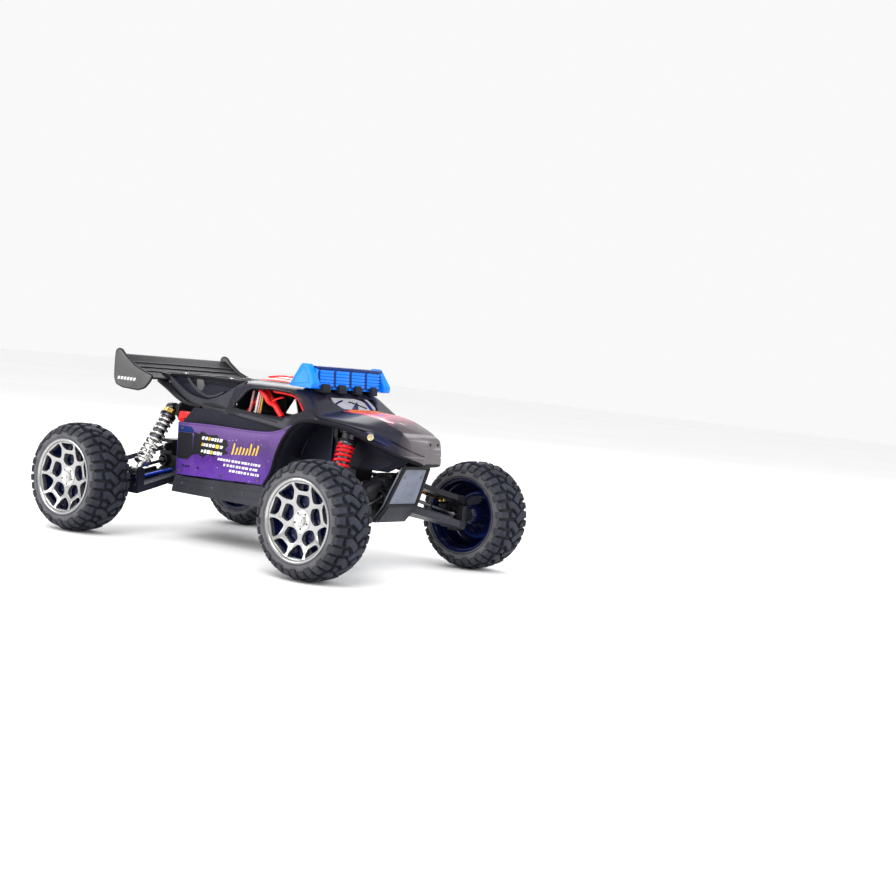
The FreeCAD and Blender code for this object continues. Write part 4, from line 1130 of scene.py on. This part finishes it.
# ---- side panels --------------------------------------------------------------------------
def side_panels():
    """Painted panel on each side with its rolled top, marks and screws."""
    outline = [(-83, 113), (-80.4, 63.2), (34.4, 67.2)]
    outline += [(p.x, p.y) for p in curve_through([(42, 80), (47, 98), (53, 111), (62, 121), (73, 128)], 4)]
    outline += [(p.x, p.y) for p in curve_through([(69, 127.5), (54, 121), (38, 116.5), (12, 115),
            (-30, 115)], 4)]
    for side, sy in SIDES:
        panel = slab("side_panel_" + side, outline, sy * 58.0, sy * 60.3, "side", PANEL, 0.7)
        if side == "left":
            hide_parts("side_panels")
        top = curve_through([(-82, sy * 60.2, 112.6), (-40, sy * 60.3, 114.2), (12, sy * 60.3, 114.4),
                (38, sy * 60.3, 116.0), (54, sy * 60.5, 120.6), (67, sy * 60.7, 126.6)], 5)
        tube("side_panel_top_roll_" + side, top, 0.8, "side", PANEL, sides=8)
        decals(side, sy)
        for x, z in ((-76, 67), (-76, 108), (28, 71), (-20, 68.5)):
            lathe("side_panel_screw_%s_%d_%d" % (side, x + 100, z), [(0.0, 0.1), (0.0, 1.7), (0.5, 1.6),
                    (0.9, 1.0), (0.6, 0.5), (0.6, 0.1)], (x, sy * 60.2, z), (0, sy, 0), "alloy",
                  ("body_assembly", "dark_alloy"), 16)


def decals(side, sy):
    """Thin printed marks: a torn dark patch, plain bars and strokes, none of them letters."""
    def mark(name, outline, mat, lift=0.0):
        slab("mark_%s_%s" % (name, side), outline, sy * 60.2, sy * (60.45 + lift), mat, PANEL, 0)

    mark("rear_block", rounded([(-80.5, 78.5), (-80.8, 104), (-62, 104.5), (-60, 84), (-66, 79)], 1.5, 2),
         "black")
    mark("rear_cap", rounded([(-81, 104.4), (-81.2, 110.6), (-64, 110.4), (-60.5, 107), (-60.5, 104.8)], 1.2,
            2), "lamp_dark")
    torn = [(-60, 106), (-53, 104.5), (-50, 107.5), (-40, 105), (-30, 106), (-24, 102.5), (-17, 103),
            (-14, 98), (-18, 94), (-13, 90.5), (-20, 88.5), (-27, 90), (-32, 85), (-40, 87), (-46, 82.5),
            (-52, 85.5), (-60, 84)]
    mark("torn_patch", torn, "black", 0.05)
    random.seed(11)
    for i in range(3):
        x = -49.0
        z = 101.5 - i * 6.2
        for k in range(7):
            width = random.uniform(1.8, 4.4)
            high = random.uniform(2.4, 3.6)
            bar = [(x, z - high / 2), (x + width, z - high / 2), (x + width + 0.9, z + high / 2),
                   (x + 0.9, z + high / 2)]
            mark("pale_bar_%d_%d" % (i, k), rounded(bar, 0.6, 2), "gold" if (i * 7 + k) % 5 == 2 else "white",
                 0.15)
            x += width + random.uniform(0.7, 1.4)
    x = -9.0
    for k in range(8):
        high = random.uniform(6.0, 12.0)
        z = 90.0 + 1.1 * k * 0.3
        bar = [(x, z), (x + 2.2, z + 0.6), (x + 4.2, z + high), (x + 2.6, z + high + 1.0),
               (x + 1.4, z + high * 0.5)]
        mark("gold_stroke_%d" % k, rounded(bar, 0.8, 2), "gold", 0.15)
        x += 4.3
    for row in range(3):
        x = -26.0 + row * 8
        while x < 26:
            width = random.uniform(1.2, 3.4)
            z = 84.0 - row * 4.6
            bar = [(x, z - 1.1), (x + width, z - 1.1), (x + width + 0.5, z + 1.1), (x + 0.5, z + 1.1)]
            mark("pale_dash_%d_%d" % (row, int(x * 10) + 300), bar, "white", 0.1)
            x += width + random.uniform(0.9, 2.2)
    for i, x in enumerate((-72, -68.5, -65, -52)):
        mark("low_tick_%d" % i, [(x, 71.5), (x + 2.2, 71.5), (x + 2.2, 73.4), (x, 73.4)], "black")


# ---- roof light bar -----------------------------------------------------------------------
def light_bar():
    """Blue roof bar: four ribbed lenses in their frames, feet, and a slanted cap at each end."""
    profile = rounded([(57.5, 160.4), (76.8, 160.4), (75.4, 166), (74.4, 179.6), (62, 179.8), (57, 172)], 2.0,
                      3)
    housing = slab("light_bar_housing", profile, -47, 47, "lamp_blue", LIGHTS, 1.2)
    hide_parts("light_bar")
    for i in range(4):
        y = (i - 1.5) * 22.4
        frame_ring = [(y - 10.4, 162.4), (y + 10.4, 162.4), (y + 10.4, 178.0), (y - 10.4, 178.0)]
        path = [(76.4 - (p.y - 162) * 0.09, p.x, p.y) for p in rounded(frame_ring, 2.4, 4)]
        tube("light_bar_frame_%d" % i, path, 0.8, "lamp_dark", LIGHTS, sides=8, closed=True)
        for k in range(5):
            x = 77.0 - k * 0.28
            z = 163.6 + k * 2.95
            rib = [(y - 9.4, z), (y + 9.4, z), (y + 9.4, z + 2.4), (y - 9.4, z + 2.4)]
            slab("light_bar_lens_%d_%d" % (i, k), rounded(rib, 0.5, 2), x - 1.8, x, "lamp_blue", LIGHTS, 0.5,
                 axis="x")
    top = rounded([(61, 178.9), (75.6, 178.7), (75.6, 181.2), (61, 181.4)], 0.9, 3)
    slab("light_bar_top_edge", top, -46.6, 46.6, "lamp_dark", LIGHTS, 0.6)
    for i, y in enumerate((-36, -13, 10, 33)):
        foot = rounded([(68, 157.6), (80.2, 157.0), (79.4, 163.8), (77.6, 165.6), (68, 165)], 1.2, 2)
        slab("light_bar_foot_%d" % i, foot, y - 5.4 + i * 0.4, y + 5.4 - i * 0.4, "liner", LIGHTS, 0.6)
    cap = rounded([(51, 161.2), (61, 182.4), (69, 182.8), (80, 166), (78.5, 160.4)], 1.6, 3)
    facet = rounded([(56, 163.4), (63, 178.4), (67.5, 179), (75.5, 165.6)], 1.4, 3)
    for side, sy in SIDES:
        ends = (("cap", cap, 46.5, 57.0, 1.3), ("facet", facet, 54.0, 57.6, 0.8))
        for name, outline, y_in, y_out, edge in ends:
            piece = slab("light_bar_%s_%s" % (name, side), outline, sy * y_in, sy * y_out, "lamp_blue",
                         LIGHTS, edge, segments=3)
            for v in piece.data.vertices:
                share = max(0.0, (v.co.z / MM - 161) / 22)
                v.co.y -= sy * share * 4.0 * max(0.0, abs(v.co.y) / MM - 47) / 10 * MM


# ---- rear wing ----------------------------------------------------------------------------
def rear_wing():
    """Curved blade with end plates, brackets to the booms, stays and ribs."""
    upper = curve_through([(-114.4, 152.6), (-125, 156.6), (-141, 163.6), (-157.2, 172.8)], 6)
    under = curve_through([(-159, 171.2), (-142, 160.2), (-126, 153.8), (-114.6, 150.8)], 6)
    blade = slab("wing_blade", [(p.x, p.y) for p in upper + under], -72, 72, "wing", WING, 0.7)
    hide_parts("rear_wing")
    plate = [(-164, 171), (-163.6, 175), (-160.5, 177), (-156, 176.4), (-150.5, 171.4), (-136, 162.5),
             (-120, 157), (-110.4, 154.6), (-113.4, 148.6), (-120, 142.2), (-129, 139.6), (-151, 140.4),
             (-160, 143), (-163, 149), (-163.8, 160)]
    plate = rounded(plate, 2.0, 3)
    for side, sy in SIDES:
        slab("wing_end_plate_" + side, plate, sy * 71.6, sy * 74, "end_plate", WING, 0.8)
        path = [(p.x, sy * 72.8, p.y) for p in plate]
        tube("wing_end_plate_rim_" + side, path, 1.1, "black", WING, sides=8, closed=True)
        for i in range(6):
            x = -158 + i * 4.4
            bar = [(x, 147.5), (x + 2.8, 147.5), (x + 4.0, 150.4), (x + 1.2, 150.4)]
            slab("wing_mark_%s_%d" % (side, i), rounded(bar, 0.5, 2), sy * 73.8, sy * 74.25, "white", WING, 0)
        bracket = [(-113.8, 150.0), (-113.8, 158.0), (-120, 158), (-129, 158.0), (-129, 153.6)]
        slab("wing_bracket_" + side, bracket, sy * 42.2, sy * 46.8, "black", WING, 0.7)
        gill = [(-124, 148), (-146, 156), (-150, 154), (-130, 145)]
        slab("wing_stay_" + side, rounded(gill, 2, 3), sy * 20, sy * 22, "black", WING, 0.5)
    for i, (x, z) in enumerate(((-128, 158.1), (-136, 161.6), (-144, 165.4))):
        tube("wing_rib_%d" % i, [(x, -70, z), (x, 0, z), (x, 70, z)], 0.7, "black", WING, sides=8)


# ---- chassis dressing ---------------------------------------------------------------------
def skid_plate_frame():
    """Black bars round the skid plate, its screws, and the cover under its chin."""
    for side, sy in SIDES:
        path = [(149.4, sy * 21.6, 62.5), (154, sy * 20.6, 74.5), (163.2, sy * 17.6, 98.5)]
        tube("skid_plate_edge_" + side, path, 1.9, "black", FRAME, flat=1.2, sides=10)
        path = [(137.5, sy * 21.0, 47.6), (143.5, sy * 21.4, 54.6), (149.4, sy * 21.6, 62.5)]
        tube("skid_plate_chin_" + side, path, 1.9, "black", FRAME, flat=1.2, sides=10)
        lathe("skid_plate_screw_" + side, [(0.0, 0.1), (0.0, 2.0), (0.8, 1.8), (1.0, 0.9), (0.5, 0.7),
                (0.5, 0.1)], (159.2, sy * 12.0, 90.0), (0.93, 0, -0.36), "alloy", ("chassis", "dark_alloy"),
              18)
    tube("skid_plate_top_bar", [(162.8, -18, 99.4), (163.0, 0, 99.4), (162.8, 18, 99.4)], 2.4, "black", FRAME)
    chin = [(139.6, 46.6), (150.8, 62.2), (151.8, 61.5), (140.6, 46.4)]
    slab("skid_plate_chin_cover", chin, -20.2, 20.2, "charcoal", FRAME, 0.3)
    tube("skid_plate_chin_bar", [(150, -21, 63.0), (150.2, 0, 63.0), (150, 21, 63.0)], 1.6, "black", FRAME,
         sides=10)


def rail_details():
    """Beads and screws along the chassis rails, and skid blocks under the rear."""
    for side, sy in SIDES:
        for z0, z1 in ((50.6, 51.6), (57.8, 58.6)):
            strip = [(-80, z0), (34, z0 + 1.6), (34, z1 + 1.6), (-80, z1)]
            slab("rail_bead_%s_%d" % (side, z0), strip, sy * 59.4, sy * 60.35, "charcoal",
                 ("chassis", "charcoal_moulding"), 0.25)
        for x in (-70, -30, 10):
            lathe("rail_screw_%s_%d" % (side, x + 100), [(0.0, 0.1), (0.0, 1.6), (0.5, 1.5), (0.8, 0.9),
                    (0.4, 0.1)], (x, sy * 60.0, 55.6), (0, sy, 0), "alloy", ("chassis", "dark_alloy"), 16)
        foot = rounded([(-112, 41.8), (-99, 41.8), (-96, 46.2), (-114, 46.2)], 1.2, 2)
        slab("rear_skid_block_" + side, foot, sy * 6, sy * 16, "black", FRAME, 0.7)


def arm_links():
    """Blue and black rails along each rear lower arm, and two dark ones along each front arm."""
    for side, sy in SIDES:
        body = "rear_%s_lower_arm" % side
        path = curve_through([(-118, sy * 30, 62.5), (-122, sy * 52, 57.2), (-126, sy * 74, 51.0)], 5)
        tube("rear_arm_blue_rail_" + side, path, 2.0, "blue_metal", (body, "blue_anodised"), flat=1.4)
        path = curve_through([(-140, sy * 30, 62.2), (-144, sy * 52, 56.6), (-149, sy * 72, 51.2)], 5)
        tube("rear_arm_black_rail_" + side, path, 1.8, "black", (body, "black_moulding"), flat=1.4)
        body = "front_%s_lower_arm" % side
        for name, offset, radius in (("back", 0.0, 1.6), ("front", 20.0, 3.0)):
            path = curve_through([(113 + offset, sy * 32, 59.5), (120 + offset, sy * 50, 55.2),
                    (134 + offset, sy * 73, 49.2)], 6)
            tube("front_arm_%s_rail_%s" % (name, side), path, radius, "charcoal", (body, "black_moulding"),
                 flat=1.25, sides=14)


def electrics():
    """Motor leads, a battery lead and the battery's two straps."""
    for i, (y, mat) in enumerate(((29, "red"), (22, "black"), (15, "battery"))):
        path = curve_through([(-30, y, 84 - i), (-22, y + 3, 89), (-12, y + 1, 83), (-2, y - 1, 70),
                (3, y - 2, 66)], 6)
        path = [(max(-29.5, p.x), p.y, p.z) for p in path]
        tube("motor_lead_%d" % i, path, 1.3, mat, LEADS, sides=8)
    path = curve_through([(36, -36, 65), (43, -34, 66), (48, -20, 66), (47, 4, 64), (41, 22, 60)], 6)
    tube("battery_lead", path, 1.5, "red", LEADS, sides=8)
    for i, x in enumerate((-60, -8)):
        strap = [(-54.6, 50), (-54.6, 70), (-49.5, 74.4), (-22.5, 74.4), (-17.4, 70), (-17.4, 50),
                 (-18.4, 50), (-18.4, 69.5), (-23, 73.3), (-49, 73.3), (-53.6, 69.5), (-53.6, 50)]
        slab("battery_strap_%d" % i, strap, x, x + 14, "black", FRAME, 0.3, axis="x")


def screws_and_clips():
    """Gearbox screws, and the body posts with their ring clips."""
    for end, sx in ENDS:
        for y in (-9, 9):
            for z in (84 if end == "rear" else 70, 58):
                lathe("%s_gearbox_screw_%d_%d" % (end, y + 20, z), [(0.0, 0.1), (0.0, 1.9), (0.8, 1.8),
                        (1.2, 1.2), (0.6, 0.7), (0.6, 0.1)], (sx * 99, y, z), (-sx, 0, 0), "steel",
                      ("chassis", "steel"), 16)
    for side, sy in SIDES:
        for x, z in ((-36, 157.9), (-98, 157.4)):
            y = boom_y(x, z)
            lathe("body_post_%s_%d" % (side, abs(x)), [(0.0, 0.1), (0.0, 1.6), (3.0, 1.4), (3.6, 0.9),
                    (3.6, 0.1)], (x, sy * y, z), (0, 0, 1), "black", SHELL, 16)
            ring = []
            for k in range(14):
                a = 2 * math.pi * k / 14
                ring.append((x + 3.0 + 3.2 * math.cos(a), sy * y + 2.2 * math.sin(a), z + 2.4))
            tube("body_clip_%s_%d" % (side, abs(x)), ring, 0.45, "steel", ("body_assembly", "steel"), sides=6,
                 closed=True)


def dress_cad():
    """Gives each CAD node that stays in view its material and softened edges."""
    looks = {"chassis_tub": ("charcoal", 0.7), "front_skid_plate": ("plate", 0.8),
             "front_gearbox": ("black", 0.6), "rear_gearbox": ("black", 0.6),
             "front_shock_tower": ("black", 0.5), "rear_shock_tower": ("black", 0.5), "motor": ("can", 0.3),
             "motor_pinion": ("steel", 0.0), "centre_drive_shaft": ("alloy", 0.0),
             "battery_pack": ("battery", 0.4), "speed_controller": ("alloy", 0.3),
             "power_switch": ("red", 0.3), "steering_servo": ("black", 0.5), "servo_horn": ("black", 0.3),
             "steering_rack": ("alloy", 0.3), "roll_cage": ("red", 0.0)}
    for end, side, sx, sy in CORNERS:
        c = end + "_" + side + "_"
        looks[c + "lower_arm"] = ("charcoal" if end == "front" else "liner", 0.7)
        looks[c + "upper_arm"] = ("black" if end == "front" else "steel", 0.5)
        looks[c + "wheel_axle"] = ("steel", 0.3)
        looks[c + "shock_cylinder"] = ("alloy", 0.3)
        looks[c + "shock_rod"] = ("steel", 0.2)
        if end == "front":
            looks[c + "caster_block"] = ("black", 0.4)
            looks[c + "steering_knuckle"] = ("charcoal", 0.4)
            looks[c + "tie_rod"] = ("brass", 0.2)
        else:
            looks[c + "hub_carrier"] = ("black", 0.4)
    for name, (mat, width) in looks.items():
        node = NODES[name]
        for i in range(len(node.data.materials)):
            node.data.materials[i] = MAT[mat]
        if width:
            weld = node.modifiers.new("weld", "WELD")
            weld.merge_threshold = 0.002 * MM
            bevel(node, width, 40.0)


# ---- stage --------------------------------------------------------------------------------
def stage():
    """Pale floor, white world and four soft lights."""
    reach = 6000.0
    corners = [(x * reach, y * reach, 0) for x, y in ((-1, -1), (1, -1), (1, 1), (-1, 1))]
    floor = make("studio_floor", corners, [[0, 1, 2, 3]], "paper")
    world = bpy.data.worlds.new("studio")
    world.use_nodes = True
    world.node_tree.nodes["Background"].inputs["Color"].default_value = (1.0, 1.0, 1.0, 1.0)
    world.node_tree.nodes["Background"].inputs["Strength"].default_value = 0.95
    bpy.context.scene.world = world
    bpy.context.scene.view_settings.view_transform = "Standard"
    for name, place, size, power, tint in (
            ("key", (0.6, -1.3, 1.6), 1.2, 30, (1.0, 0.98, 0.96)),
            ("fill", (1.5, 0.4, 0.9), 1.0, 12, (0.94, 0.97, 1.0)),
            ("back", (-1.2, 0.9, 1.3), 1.2, 18, (1.0, 1.0, 1.0)),
            ("strip", (-0.9, -1.3, 0.5), 0.6, 6, (1.0, 1.0, 1.0))):
        light = bpy.data.lights.new(name, "AREA")
        light.size = size
        light.energy = power
        light.color = tint
        lamp = bpy.data.objects.new("lamp_" + name, light)
        lamp.location = place
        aim = Vector((0, 0, 0.08)) - lamp.location
        lamp.rotation_euler = aim.to_track_quat("-Z", "Y").to_euler()
        bpy.context.scene.collection.objects.link(lamp)


def camera():
    """A long lens, low at the front right corner, rolled a little as the picture is."""
    data = bpy.data.cameras.new("camera")
    data.sensor_width = 36.0
    data.lens = 64.29
    eye = bpy.data.objects.new("camera", data)
    bpy.context.scene.collection.objects.link(eye)
    heading, pitch, roll = 36.16, 86.71, 5.765
    turn = (Matrix.Rotation(math.radians(heading), 4, "Z") @ Matrix.Rotation(math.radians(pitch), 4, "X")
            @ Matrix.Rotation(math.radians(roll), 4, "Z"))
    eye.matrix_world = Matrix.Translation((1.0336, -1.1464, 0.2024)) @ turn
    bpy.context.scene.camera = eye


for build in (stage, camera, dress_cad, tyres, rims, springs, dogbones, body_shell, window_trim, booms,
              arch_bands, well_walls, gap_shade_sheets, headlights, bonnet_details, roof_details, screens, cockpit,
              side_panels, light_bar, rear_wing, skid_plate_frame, rail_details, arm_links, electrics,
              screws_and_clips):
    build()
